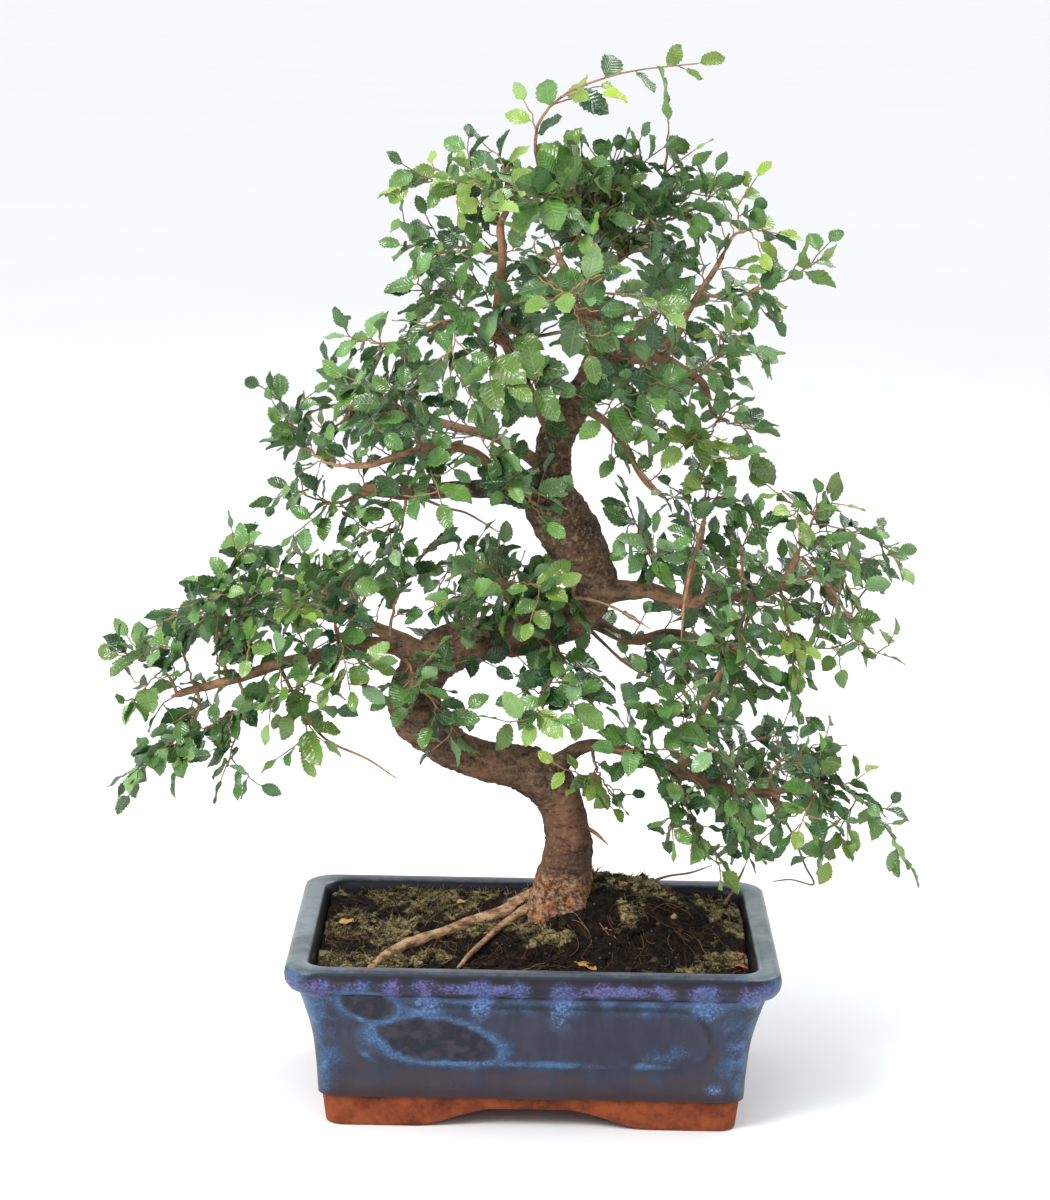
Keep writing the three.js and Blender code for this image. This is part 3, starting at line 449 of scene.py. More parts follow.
class Surface:
    """Points and faces gathered from many grids of rings, to be made into one mesh."""

    def __init__(self, *fields: str) -> None:
        """Starts empty.

        Args:
            fields: The names of the numbers that each point carries for its material.
        """
        self.points: list[Array] = []
        self.faces: list[Array] = []
        self.slots: list[Array] = []
        self.texture: list[Array] = []
        self.fields: dict[str, list[Array]] = {name: [] for name in fields}
        self.count = 0

    def add(
        self, grid: Array, slots: Any = 0, texture: tuple[Any, Any] = (0, 0), **fields: Any
    ) -> None:
        """Adds rings, counter-clockwise as seen from the end they climb to, with a face over each end.

        Args:
            grid: Rings by points by 3, or many such grids, in metres.
            slots: The material of each column of faces, or one for all.
            texture: The two texture coordinates.
            fields: The numbers that the points carry.
        """
        stack = grid[None] if grid.ndim == 3 else grid
        copies, rings, columns, _ = stack.shape
        shape = stack.shape[:-1]
        index = self.count + np.arange(copies * rings * columns).reshape(shape)
        ahead = np.roll(index, -1, axis=2)
        quads = np.stack([index[:, :-1], ahead[:, :-1], ahead[:, 1:], index[:, 1:]], axis=-1)
        self.faces.append(quads.reshape(-1, 4))
        self.slots.append(np.broadcast_to(slots, quads.shape[:-1]).ravel())
        ends = np.concatenate([index[:, 0, ::-1], index[:, -1]])
        self.faces.append(ends)
        self.slots.append(np.full(len(ends), np.ravel(slots)[0]))
        self.points.append(stack.reshape(-1, 3))
        places = [np.broadcast_to(part, shape).ravel() for part in texture]
        self.texture.append(np.stack(places, axis=-1))
        for name, parts in self.fields.items():
            parts.append(np.broadcast_to(fields.get(name, 0), shape).ravel())
        self.count += index.size

    def build(
        self, name: str, materials: Sequence[Material], crease: float = 60
    ) -> bpy.types.Object:
        """Makes the mesh object, smooth except over edges sharper than the crease.

        Args:
            name: The object's name.
            materials: Its materials, in the order of their slots.
            crease: The angle in degrees past which an edge shades sharp.

        Returns:
            The object, linked into the scene.
        """
        mesh = bpy.data.meshes.new(name)
        sizes = np.concatenate([np.full(len(part), part.shape[1]) for part in self.faces])
        corners = np.concatenate([part.ravel() for part in self.faces])
        starts = np.cumsum(sizes) - sizes
        mesh.vertices.add(self.count)
        mesh.vertices.foreach_set("co", np.concatenate(self.points).ravel())
        mesh.loops.add(len(corners))
        mesh.loops.foreach_set("vertex_index", corners)
        mesh.polygons.add(len(sizes))
        mesh.polygons.foreach_set("loop_start", starts)
        mesh.polygons.foreach_set("material_index", np.concatenate(self.slots))
        mesh.polygons.foreach_set("use_smooth", np.ones(len(sizes), bool))
        mesh.update(calc_edges=True)
        places = np.concatenate(self.texture)[corners]
        mesh.uv_layers.new(name="UVMap").data.foreach_set("uv", places.ravel())
        for title, parts in self.fields.items():
            layer = mesh.attributes.new(title, "FLOAT", "POINT")
            layer.data.foreach_set("value", np.concatenate(parts))
        mesh.validate()
        mesh.set_sharp_from_angle(angle=np.radians(crease))
        for material in materials:
            mesh.materials.append(material)
        return place_object(name, mesh)


def place_object(name: str, data: bpy.types.ID) -> bpy.types.Object:
    """Makes an object of a mesh, a camera or a lamp, and links it into the scene."""
    made = bpy.data.objects.new(name, data)
    bpy.context.scene.collection.objects.link(made)
    return made


def seat_piece(piece: bpy.types.Object, slot: str, *nodes: str) -> bpy.types.Object:
    """Rides a piece on the root body and hides the solids that it stands for."""
    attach(piece, "root")
    if nodes:
        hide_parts(*nodes)
    triangles = sum(len(face.vertices) - 2 for face in piece.data.polygons)
    LOG.info("%s: %d triangles", piece.name, triangles)
    return piece


class Signal:
    """A shader socket whose sums, products and other operators make Math nodes."""

    def __init__(self, graph: "Graph", socket: bpy.types.NodeSocket) -> None:
        """Wraps an output socket of a graph's node."""
        self.graph = graph
        self.socket = socket

    def math(self, operation: str, first: Any, second: Any = 0.0) -> "Signal":
        """One Math node on two values or sockets."""
        return self.graph.signal("ShaderNodeMath", {"operation": operation}, {0: first, 1: second})

    def __add__(self, other: Any) -> "Signal":
        """The sum."""
        return self.math("ADD", self, other)

    __radd__ = __add__

    def __sub__(self, other: Any) -> "Signal":
        """The difference."""
        return self.math("SUBTRACT", self, other)

    def __rsub__(self, other: Any) -> "Signal":
        """The difference from a number."""
        return self.math("SUBTRACT", other, self)

    def __mul__(self, other: Any) -> "Signal":
        """The product."""
        return self.math("MULTIPLY", self, other)

    __rmul__ = __mul__

    def __abs__(self) -> "Signal":
        """The size without its sign."""
        return self.math("ABSOLUTE", self)

    def fraction(self) -> "Signal":
        """What is left over a whole number."""
        return self.math("FRACT", self)

    def larger(self, other: Any) -> "Signal":
        """The larger of two."""
        return self.math("MAXIMUM", self, other)

    def rise(self, low: float, high: float) -> "Signal":
        """An S-shaped rise from 0 at low to 1 at high."""
        sockets = {"Value": self, "From Min": low, "From Max": high}
        return self.graph.signal("ShaderNodeMapRange", {"interpolation_type": "SMOOTHSTEP"}, sockets)


class Graph:
    """A material's nodes, with one method that makes any of them."""

    def __init__(self, name: str) -> None:
        """Starts a material with no nodes."""
        self.material = bpy.data.materials.new(name)
        self.material.use_nodes = True
        self.tree = self.material.node_tree
        self.tree.nodes.clear()

    def node(
        self, kind: str, settings: Options | None = None, sockets: Options | None = None
    ) -> bpy.types.Node:
        """Makes a node, sets it up, and then fills or links its sockets.

        Args:
            kind: The node's type.
            settings: Its settings by name.
            sockets: Values or signals by the input's name or number.

        Returns:
            The node.
        """
        made = self.tree.nodes.new(kind)
        for key, value in (settings or {}).items():
            setattr(made, key, value)
        for key, value in (sockets or {}).items():
            if isinstance(value, Signal):
                self.tree.links.new(value.socket, made.inputs[key])
            else:
                made.inputs[key].default_value = value
        return made

    def signal(
        self, kind: str, settings: Options | None = None, sockets: Options | None = None, output: Any = 0
    ) -> Signal:
        """Makes a node and wraps one of its outputs."""
        return Signal(self, self.node(kind, settings, sockets).outputs[output])

    def place(self) -> Signal:
        """The point on the piece, in metres."""
        return self.signal("ShaderNodeTexCoord", output="Object")

    def field(self, name: str) -> Signal:
        """A number that the mesh carries."""
        return self.signal("ShaderNodeAttribute", {"attribute_name": name}, output="Fac")

    def axis(self, vector: Signal, name: str) -> Signal:
        """One coordinate of a vector: X, Y or Z."""
        return self.signal("ShaderNodeSeparateXYZ", None, {0: vector}, name)

    def stretch(self, vector: Signal, scale: Row) -> Signal:
        """A vector times a scale along each axis."""
        return self.signal("ShaderNodeVectorMath", {"operation": "MULTIPLY"}, {0: vector, 1: scale})

    def noise(self, vector: Signal, size: float, detail: float = 3, rough: float = 0.55) -> Signal:
        """Noise from 0 to 1 whose patches are about as wide as size, in metres."""
        sockets = {"Vector": vector, "Scale": 1 / size, "Detail": detail, "Roughness": rough}
        return self.signal("ShaderNodeTexNoise", None, sockets, "Fac")

    def cells(self, vector: Signal, size: float) -> Signal:
        """The distance to the nearest of points strewn about size apart, from 0 to about 1."""
        return self.signal("ShaderNodeTexVoronoi", None, {"Vector": vector, "Scale": 1 / size}, "Distance")

    def mix(self, share: Any, first: Any, second: Any) -> Signal:
        """A colour between two, by a share from 0 to 1."""
        first, second = (c if isinstance(c, Signal) else (*c, 1) for c in (first, second))
        return self.signal("ShaderNodeMix", {"data_type": "RGBA"}, {0: share, 6: first, 7: second}, 2)

    def bump(self, height: Signal, depth: float, strength: float = 1) -> Signal:
        """A normal that tilts as a height from 0 to 1 rises by depth, in metres."""
        sockets = {"Strength": strength, "Distance": depth, "Height": height}
        return self.signal("ShaderNodeBump", None, sockets)

    def finish(
        self, colour: Signal, rough: Any, shine: float = 0.5, normal: Signal | None = None
    ) -> Material:
        """Ends the graph in one surface shader."""
        sockets = {"Base Color": colour, "Roughness": rough, "Specular IOR Level": shine}
        if normal:
            sockets["Normal"] = normal
        shader = self.signal("ShaderNodeBsdfPrincipled", None, sockets)
        self.node("ShaderNodeOutputMaterial", None, {"Surface": shader})
        return self.material


@dataclass(frozen=True)
class GlazedClay:
    """Deep blue glaze, mottled in turquoise and violet, that ends in a wavy line above bare fired clay."""

    deep: Colour = (0.007, 0.007, 0.012)
    base: Colour = (0.020, 0.022, 0.042)
    slate: Colour = (0.034, 0.037, 0.062)
    turquoise: Colour = (0.030, 0.088, 0.18)
    pale: Colour = (0.10, 0.17, 0.32)
    milky: Colour = (0.13, 0.26, 0.55)
    violet: Colour = (0.135, 0.11, 0.30)
    blue: Colour = (0.08, 0.125, 0.33)
    worn: Colour = (0.040, 0.026, 0.032)
    thin: Colour = (0.028, 0.011, 0.010)
    rim: Colour = (0.062, 0.092, 0.104)
    rim_pale: Colour = (0.17, 0.22, 0.238)
    clay: Colour = (0.150, 0.027, 0.007)
    clay_pale: Colour = (0.25, 0.056, 0.015)
    scorched: Colour = (0.045, 0.014, 0.008)
    glaze_foot: float = 0.0142
    edge_foot: float = 0.0148
    edge_top: float = 0.0225
    line_blur: float = 0.0004
    edge_blur: float = 0.0016
    lip_foot: Pair = (0.0585, 0.064)
    clay_rough: float = 0.8
    glaze_gloss: float = 0.5
    shine: float = 0.32
    bump_depth: float = 0.0007

    def glaze(self, graph: Graph, place: Signal, fine: Signal, speck: Signal) -> Signal:
        """The glaze's colour: clouds, mottling, painted highlight and shade, dark patches, wear, drips, the
        rim.

        Args:
            graph: The material's graph.
            place: The point on the pot.
            fine: Noise a few millimetres wide.
            speck: Noise about a millimetre wide.

        Returns:
            The colour.
        """
        cloud = graph.noise(place, 0.026, 4, 0.6)
        streak = graph.noise(graph.stretch(place, (1, 1, 0.25)), 0.010, 4, 0.65)
        lace = graph.cells(place, 0.0016)
        colour = graph.mix((cloud * 0.6 + streak * 0.5).rise(0.42, 0.72), self.base, self.slate)
        # The glow field includes a painted highlight on the panel's lower edge.
        glow = graph.field("glow")
        wash = (glow * 1.1 + cloud * 0.5 + streak * 0.35 + speck * 0.35 - 0.78).rise(0.0, 0.75)
        colour = graph.mix(wash * 0.9, colour, self.turquoise)
        grain = (glow * 0.5 + speck * 0.75 + fine * 0.45 - 0.80).rise(0.0, 0.34)
        colour = graph.mix(grain * 0.55, colour, self.pale)
        # The shade field mixes towards deep: painted shade under the lip, inside the walls and on the
        # panel's upper edge, with the darker lip and the dark patches.
        shade = graph.field("shade")
        colour = graph.mix((shade * 1.1 + fine * 0.5 - 0.35).rise(0.0, 0.7) * 0.92, colour, self.deep)
        thin = graph.field("thin")
        colour = graph.mix((thin + fine * 0.8 + streak * 0.3 - 0.85).rise(0.0, 0.45), colour, self.thin)
        worn = (graph.field("worn") * 1.2 + fine * 0.6 + cloud * 0.4 - 0.75).rise(0.0, 0.8)
        colour = graph.mix(worn * 0.7, colour, self.worn)
        drip = graph.field("drip")
        purple = graph.mix((cloud * 0.7 + streak * 0.4).rise(0.46, 0.66), self.violet, self.blue)
        tone = graph.mix(graph.axis(place, "Z").rise(*self.lip_foot), self.milky, purple)
        tone = graph.mix(lace.rise(0.3, 0.75) * 0.5, tone, self.base)
        dots = (drip * 0.62 + speck * 1.5 + fine * 0.6 - 1.36).rise(0.0, 0.3)
        colour = graph.mix((dots * 0.68 + 0.14) * drip.rise(0.05, 0.5), colour, tone)
        top = graph.mix((cloud + streak * 0.4).rise(0.5, 0.85), self.rim, self.rim_pale)
        return graph.mix((graph.field("rim") * 1.2 + fine * 0.4 - 0.35).rise(0.0, 0.6), colour, top)

    def material(self) -> Material:
        """The glaze and the clay in one material.

        Returns:
            The material.
        """
        graph = Graph("glazed_clay")
        place = graph.place()
        speck = graph.noise(place, 0.0011, 2, 0.7)
        fine = graph.noise(place, 0.0032, 4, 0.65)
        colour = self.glaze(graph, place, fine, speck)
        rust = graph.noise(place, 0.012, 5, 0.65)
        clay = graph.mix(rust.rise(0.36, 0.62), self.clay_pale, self.clay)
        clay = graph.mix((rust * 0.6 + fine * 0.5).rise(0.58, 0.72) * 0.8, clay, self.scorched)
        clay = graph.mix(speck.rise(0.64, 0.76) * 0.45, clay, self.clay_pale)
        height = graph.axis(place, "Z") + (fine - 0.5) * 0.0012 + (rust - 0.5) * 0.0016
        foot = self.glaze_foot
        glazed = height.rise(foot - self.line_blur, foot + self.line_blur)
        edge = height.rise(foot - self.edge_blur, foot) * (1 - height.rise(self.edge_foot, self.edge_top))
        colour = graph.mix(edge * 0.8, graph.mix(glazed, clay, colour), self.thin)
        relief = (fine * 0.5 + speck * 0.3) * (1 - glazed) + (fine * 0.3 + rust * 0.4) * glazed
        rough = self.clay_rough - glazed * self.glaze_gloss - graph.field("rim") * 0.12 + speck * 0.08
        return graph.finish(colour, rough, self.shine, graph.bump(relief, self.bump_depth, 0.6))


@dataclass(frozen=True)
class Bark:
    """Finely cracked brown bark with tan flecks and redder skin beneath, red-brown on thin twigs."""

    crack_and_shade: Colour = (0.022, 0.014, 0.010)
    dark: Colour = (0.058, 0.038, 0.027)
    brown: Colour = (0.25, 0.149, 0.081)
    tan: Colour = (0.43, 0.29, 0.17)
    red: Colour = (0.22, 0.090, 0.046)
    twig: Colour = (0.40, 0.23, 0.125)
    twig_dark: Colour = (0.13, 0.066, 0.040)
    root: Colour = (0.50, 0.32, 0.185)
    root_dark: Colour = (0.13, 0.055, 0.026)
    crown: Colour = (0.34, 0.20, 0.12)
    crown_orange: Colour = (0.40, 0.15, 0.045)
    crown_dark: Colour = (0.075, 0.032, 0.014)
    crumb: Colour = (0.52, 0.38, 0.25)
    # Heights in metres: low on the trunk the painted shade and redder skin fade out, high up the painted
    # shade sets in.
    low_trunk: Pair = (0.10, 0.16)
    high_trunk: Pair = (0.19, 0.25)
    stout: Pair = (5, 9)
    slender: Pair = (0.9, 4.2)
    rough: float = 0.66
    shine: float = 0.25
    bump_depth: float = 0.0014

    def material(self) -> Material:
        """Bark for everything woody.

        The field girth is the wood's radius in millimetres, root is 1 on surface roots, and crown is 1 on
        the flaky collar where the trunk meets the soil.

        Returns:
            The material.
        """
        graph = Graph("bark")
        place = graph.place()
        broad = graph.noise(place, 0.021, 4, 0.55)
        medium = graph.noise(graph.stretch(place, (1, 1, 2.1)), 0.0065, 5, 0.72)
        fine = graph.noise(place, 0.0014, 4, 0.75)
        crumb = graph.noise(place, 0.0026, 4, 0.7)
        flake = graph.cells(graph.stretch(place, (1, 1, 1.7)), 0.0042)
        rough = medium * 0.8 + fine * 0.3
        colour = graph.mix((rough * 0.8 + broad * 0.7).rise(0.62, 1.0), self.dark, self.brown)
        low = 1 - graph.axis(place, "Z").rise(*self.low_trunk)
        colour = graph.mix((broad + fine * 0.3 + low * 0.25).rise(0.66, 0.95) * 0.6, colour, self.red)
        # Painted shade: the trunk is darkened towards the dark crack colour near the soil and high up under
        # the crown.
        high = graph.axis(place, "Z").rise(*self.high_trunk) * graph.field("girth").rise(*self.stout)
        colour = graph.mix(high * 0.45 + low * 0.45, colour, self.crack_and_shade)
        flecks = (crumb * 0.7 + fine * 0.5).rise(0.60, 0.72) * (high * 0.35 + 0.22)
        colour = graph.mix(flecks, colour, self.tan)
        colour = graph.mix((1 - rough).rise(0.47, 0.60) * 0.85, colour, self.crack_and_shade)
        thin = 1 - graph.field("girth").rise(*self.slender)
        skin = graph.mix((rough * 0.7 + broad * 0.5).rise(0.45, 0.72), self.twig_dark, self.twig)
        colour = graph.mix(thin * 0.8, colour, skin)
        grooves = graph.noise(graph.stretch(place, (0.5, 1, 1.6)), 0.0042, 4, 0.7)
        bare = graph.mix((grooves + fine * 0.3).rise(0.5, 0.78), self.root_dark, self.root)
        colour = graph.mix(graph.field("root") * 0.9, colour, bare)
        crust = graph.mix(graph.noise(place, 0.005, 2).rise(0.48, 0.62), self.crown, self.crown_orange)
        crust = graph.mix((crumb * 0.8 + fine * 0.4).rise(0.50, 0.68), self.crown_dark, crust)
        crust = graph.mix((fine + crumb * 0.3).rise(0.74, 0.84) * 0.8, crust, self.crumb)
        colour = graph.mix((graph.field("crown") * 1.3 + medium * 0.6 - 0.45).rise(0.0, 0.7), colour, crust)
        relief = medium * 0.5 + flake.rise(0.05, 0.6) * 0.25 + crumb * 0.4 + fine * 0.25
        bump = graph.bump(relief, self.bump_depth, 0.9)
        return graph.finish(colour, self.rough + fine * 0.3, self.shine, bump)


@dataclass(frozen=True)
class Leaf:
    """A glossy blade with paler veins; young ones are yellow-green, and the underside is dull and pale."""

    name: str
    old: Colour
    middle: Colour
    young: Colour
    # A grey-green painted sheen that some leaves carry.
    painted_sheen: Colour
    gloss: float
    vein: float = 0.28
    vein_pale: Colour = (0.36, 0.52, 0.24)
    vein_pairs: float = 8
    shine: float = 0.6
    bump_depth: float = 0.0004

    def material(self) -> Material:
        """A blade's material.

        The texture runs across the blade from 0 to 1 and along it from stalk to tip. The field tint is
        a draw for each leaf, and youth is 1 on the newest ones.

        Returns:
            The material.
        """
        graph = Graph(self.name)
        place = graph.place()
        texture = graph.signal("ShaderNodeTexCoord", output="UV")
        off_middle = abs(graph.axis(texture, "X") - 0.5) * 2
        along = graph.axis(texture, "Y")
        ribs = abs((along * self.vein_pairs - off_middle * 1.9).fraction() - 0.5) * 2
        rib = ribs.rise(0.72, 0.97) * (1 - off_middle * 0.6)
        midrib = 1 - off_middle.rise(0.03, 0.12)
        patchy = graph.noise(place, 0.006, 3)
        tint = graph.field("tint") * 0.75 + patchy * 0.35
        colour = graph.mix(tint.rise(0.12, 0.95), self.old, self.middle)
        # Painted sheen: leaves with a high tint draw are greyed towards a pale grey-green.
        colour = graph.mix((tint + patchy * 0.3).rise(0.86, 1.1) * 0.7, colour, self.painted_sheen)
        colour = graph.mix(graph.field("youth"), colour, self.young)
        veined = graph.mix(0.45, colour, self.vein_pale)
        colour = graph.mix((rib * 0.55).larger(midrib) * self.vein, colour, veined)
        pucker = ribs * 0.6 * (1 - off_middle.rise(0.75, 1)) - midrib * 0.5 + patchy * 0.25
        rough = self.gloss + graph.noise(place, 0.003, 2) * 0.14
        return graph.finish(colour, rough, self.shine, graph.bump(pucker, self.bump_depth, 0.6))


LEAF_TOP = Leaf(
    "leaf_top", (0.011, 0.048, 0.015), (0.110, 0.255, 0.045), (0.40, 0.54, 0.05), (0.21, 0.34, 0.175), 0.14
)
LEAF_BACK = Leaf(
    "leaf_back", (0.055, 0.13, 0.048), (0.13, 0.26, 0.085), (0.31, 0.47, 0.09), (0.18, 0.29, 0.16), 0.5
)
LITTER_LEAF = Leaf(
    "litter_leaf", (0.34, 0.08, 0.02), (0.52, 0.36, 0.07), (0.42, 0.05, 0.03), (0.40, 0.30, 0.10), 0.55
)


@dataclass(frozen=True)
class Ground:
    """Peaty potting soil whose crumbs are dark and damp, with olive moss and pale mineral flecks."""

    peat: Colour = (0.004, 0.003, 0.0025)
    crumb: Colour = (0.027, 0.017, 0.011)
    mineral: Colour = (0.22, 0.16, 0.10)
    shadow: Colour = (0.014, 0.013, 0.005)
    moss: Colour = (0.075, 0.064, 0.022)
    moss_tip: Colour = (0.38, 0.315, 0.155)
    rough: float = 0.85
    shine: float = 0.12
    bump_depth: float = 0.002

    def material(self) -> Material:
        """Soil and moss in one material: the field moss is 1 where moss covers the soil."""
        graph = Graph("soil")
        place = graph.place()
        grain = graph.noise(place, 0.0024, 5, 0.75)
        lump = graph.cells(place, 0.0034)
        tuft = graph.noise(place, 0.0009, 3, 0.75)
        patch = graph.noise(place, 0.009, 4, 0.7)
        colour = graph.mix((grain * 0.8 + lump * 0.3 + patch * 0.2).rise(0.52, 0.85), self.peat, self.crumb)
        colour = graph.mix(graph.cells(place, 0.0048).rise(0.03, 0.13), self.mineral, colour)
        tips = (tuft * 0.6 + grain * 0.3 + patch * 0.3).rise(0.46, 0.74)
        green = graph.mix(tips, self.moss, self.moss_tip)
        green = graph.mix((patch * 0.6 + grain * 0.5).rise(0.42, 0.62), self.shadow, green)
        share = (graph.field("moss") * 1.25 + grain * 0.7 + patch * 0.3 - 0.85).rise(0.0, 0.6)
        colour = graph.mix(share, colour, green)
        bump = graph.bump(grain * 0.6 + lump * 0.5 + tuft * 0.3, self.bump_depth)
        return graph.finish(colour, self.rough + tuft * 0.12, self.shine, bump)


@dataclass(frozen=True)
class Litter:
    """Crumbs, grit and dead fibres: each piece has its own tone between peat and pale straw."""

    dark: Colour = (0.008, 0.005, 0.003)
    mid: Colour = (0.095, 0.055, 0.028)
    light: Colour = (0.34, 0.25, 0.14)
    rough: float = 0.9
    shine: float = 0.15
    bump_depth: float = 0.0004

    def material(self) -> Material:
        """Litter's material: the field tone runs from dark to light."""
        graph = Graph("litter")
        grain = graph.noise(graph.place(), 0.001, 3, 0.7)
        tone = graph.field("tone") + (grain - 0.5) * 0.3
        colour = graph.mix(tone.rise(0.1, 0.6), self.dark, self.mid)
        colour = graph.mix(tone.rise(0.7, 1.0), colour, self.light)
        bump = graph.bump(grain, self.bump_depth, 0.7)
        return graph.finish(colour, self.rough, self.shine, bump)


@dataclass(frozen=True)
class MeshPlastic:
    """Black moulded plastic, dusty from the soil."""

    black: Colour = (0.012, 0.012, 0.013)
    dust: Colour = (0.06, 0.045, 0.03)
    rough: float = 0.45
    bump_depth: float = 0.0002

    def material(self) -> Material:
        """The drain screens' plastic."""
        graph = Graph("drain_plastic")
        dust = graph.noise(graph.place(), 0.004, 4, 0.7)
        colour = graph.mix(dust.rise(0.5, 0.75), self.black, self.dust)
        bump = graph.bump(dust, self.bump_depth)
        return graph.finish(colour, self.rough + dust * 0.3, normal=bump)


class Face(enum.Enum):
    """The four walls of the pot, each by the way that it looks."""

    FRONT = (0, -1)
    RIGHT = (1, 0)
    BACK = (0, 1)
    LEFT = (-1, 0)


@dataclass(frozen=True)
class GlazeMarks:
    """Where the glaze's marks lie, in millimetres.

    A band is the heights where a mark starts, is full, fades and ends. A stripe is a height, and how far
    off it the mark is full and ends. A rise is where a mark starts and is full. A spot is a middle and a
    spread along the wall, then up it. An edge is a middle and a spread inwards from the panel's edge, and
    a halo is the same in shares of a patch. A patch is its middle along the wall and up it, and half its
    length and height. A drip is its middle, its foot's height and half its width.
    """

    facing: float = 0.7
    glazed_inset: float = 16
    corner: Pair = (0.02, 0.6)
    ends: Pair = (62, 100)
    below_lip: Row = (48, 60, 60, 63)
    above_foot: Row = (15, 18, 19, 25)
    under_panel: Row = (15.6, 17.4, 23, 28.5)
    lip: Row = (62.4, 64, 72.4, 73.2)
    # Painted shade in the seam under the lip's overhang.
    seam: Row = (62.6, 0.2, 1.2)
    speckled: Row = (66.6, 1.4, 3.6)
    ridge: Row = (68.4, 0, 1.5)
    low_half: Pair = (2, -7)
    # Painted highlight along the panel's lower edge, where the ledge faces up, and painted shade along its
    # upper edge.
    lit_low_edge: Pair = (1.8, 2.2)
    shaded_top_edge: Pair = (0.4, 1.7)
    worn_edge: Pair = (-4.2, 3.0)
    pool: Row = (60, 14, 36, 7)
    patches: tuple[Row, ...] = ((-40, 41, 25, 10), (-69, 57, 12, 6.5))
    patch_tilt: float = 0.14
    halo: Pair = (1.12, 0.26)
    halo_rim: Pair = (1.08, 0.12)
    halo_top: float = 60
    run: Row = (-46, 13, 56, 6)
    speck: Row = (78, 4, 19.5, 3)
    drip_middle: float = 67
    drip_rise: float = 5
    drip_spacing: float = 19
    front_drips: tuple[Row, ...] = (
        (-88, 59, 6), (-71, 61, 4), (-60, 57, 5), (-45, 48, 9), (-22, 46, 6.5), (-6, 59, 5),
        (12.5, 43, 7.5), (30, 57, 5), (38, 62, 4), (55, 60, 6), (73, 48, 8.5), (96, 45, 9),
    )
    pale_ends: Pair = (86, 97)
    long_rim: float = 0.3
    rim_top: Pair = (70.4, 72.2)
    rim_inset: Pair = (0.3, 1.6)
    # Painted shade on the inner walls.
    inside_top: Pair = (-73.2, -71.5)

    def drips(self, face: Face) -> Iterator[Row]:
        """The drips on one wall: the middle along it, the foot's height and half its width."""
        if face is Face.FRONT:
            yield from self.front_drips
            return
        seed = 3 + list(Face).index(face)
        reach = 90 if face is Face.BACK else 58
        for k, middle in enumerate(np.arange(-reach, reach, self.drip_spacing)):
            yield (middle + 12 * draw(seed, k), 48 + 12 * draw(seed, k + 40), 4 + 5 * draw(seed, k + 80))

    def drip_field(self, points: Array, normals: Array, outside: Array, wobble: Array) -> Array:
        """Drips below the lip: soft ovals that reach from just over the drip's middle down to its foot."""
        x, y, z = np.moveaxis(points, -1, 0)
        drip = np.zeros_like(x)
        for face in Face:
            on_face = (normals @ np.array(face.value) > self.facing) & outside
            spread = x if face.value[0] == 0 else y
            for middle, foot, reach in self.drips(face):
                across = (spread - middle) / reach + 0.5 * wobble
                rise = z - self.drip_middle
                down = rise / np.where(rise < 0, self.drip_middle - foot, self.drip_rise)
                drip = np.maximum(drip, on_face * smooth_step(-np.hypot(across, down), -1.25, -0.2))
        return drip

    def add_patches(self, points: Array, front: Array, wobble: Array, fields: dict[str, Array]) -> None:
        """Adds each dark patch on the front: mottled glaze inside, and a pale halo that fades outwards.

        Args:
            points: The skin's points.
            front: Where the front wall's glaze is.
            wobble: Noise that makes edges uneven.
            fields: The fields so far, which this changes.
        """
        x, _, z = np.moveaxis(points, -1, 0)
        mottle = layered_noise(points / 3.1, 3, 14.0)
        for middle, height, half_length, half_height in self.patches:
            tilt = (x - middle) * self.patch_tilt
            away = np.hypot((x - middle) / half_length, (z - height + tilt) / half_height) + 0.12 * wobble
            inner = front * smooth_step(-away, -1.08, -0.84)
            ring = front * bell((away, *self.halo)) * smooth_step(away, 0.9, 1.04)
            rim = front * bell((away, *self.halo_rim)) * (z < self.halo_top)
            glow = fields["glow"] * (1 - 0.7 * inner)
            fields["shade"] = np.maximum(fields["shade"] * (1 - ring), inner * (0.52 + 0.5 * mottle))
            fields["worn"] = np.maximum(fields["worn"], inner * (0.3 - 0.6 * mottle))
            fields["glow"] = np.maximum(glow, ring * 0.62 + inner * 0.5 * (mottle > 0.12))
            fields["drip"] = np.maximum(fields["drip"], 0.42 * rim)

    def panel_marks(self, depth: Array, z: Array, middle: float) -> tuple[Array, Array, Array]:
        """The marks along the panel's edges: painted highlight on the lower, painted shade on the upper.

        Args:
            depth: How far each point lies inside the panel's edge.
            z: Each point's height.
            middle: The panel's middle height.

        Returns:
            The painted highlight on the lower edge, the painted shade on the upper one and the wear below.
        """
        fade, full = self.low_half
        low = smooth_step(-z, -middle - fade, -middle - full)
        top = (1 - low) * bell((depth, *self.shaded_top_edge))
        return low * bell((depth, *self.lit_low_edge)), top, low * bell((depth, *self.worn_edge))

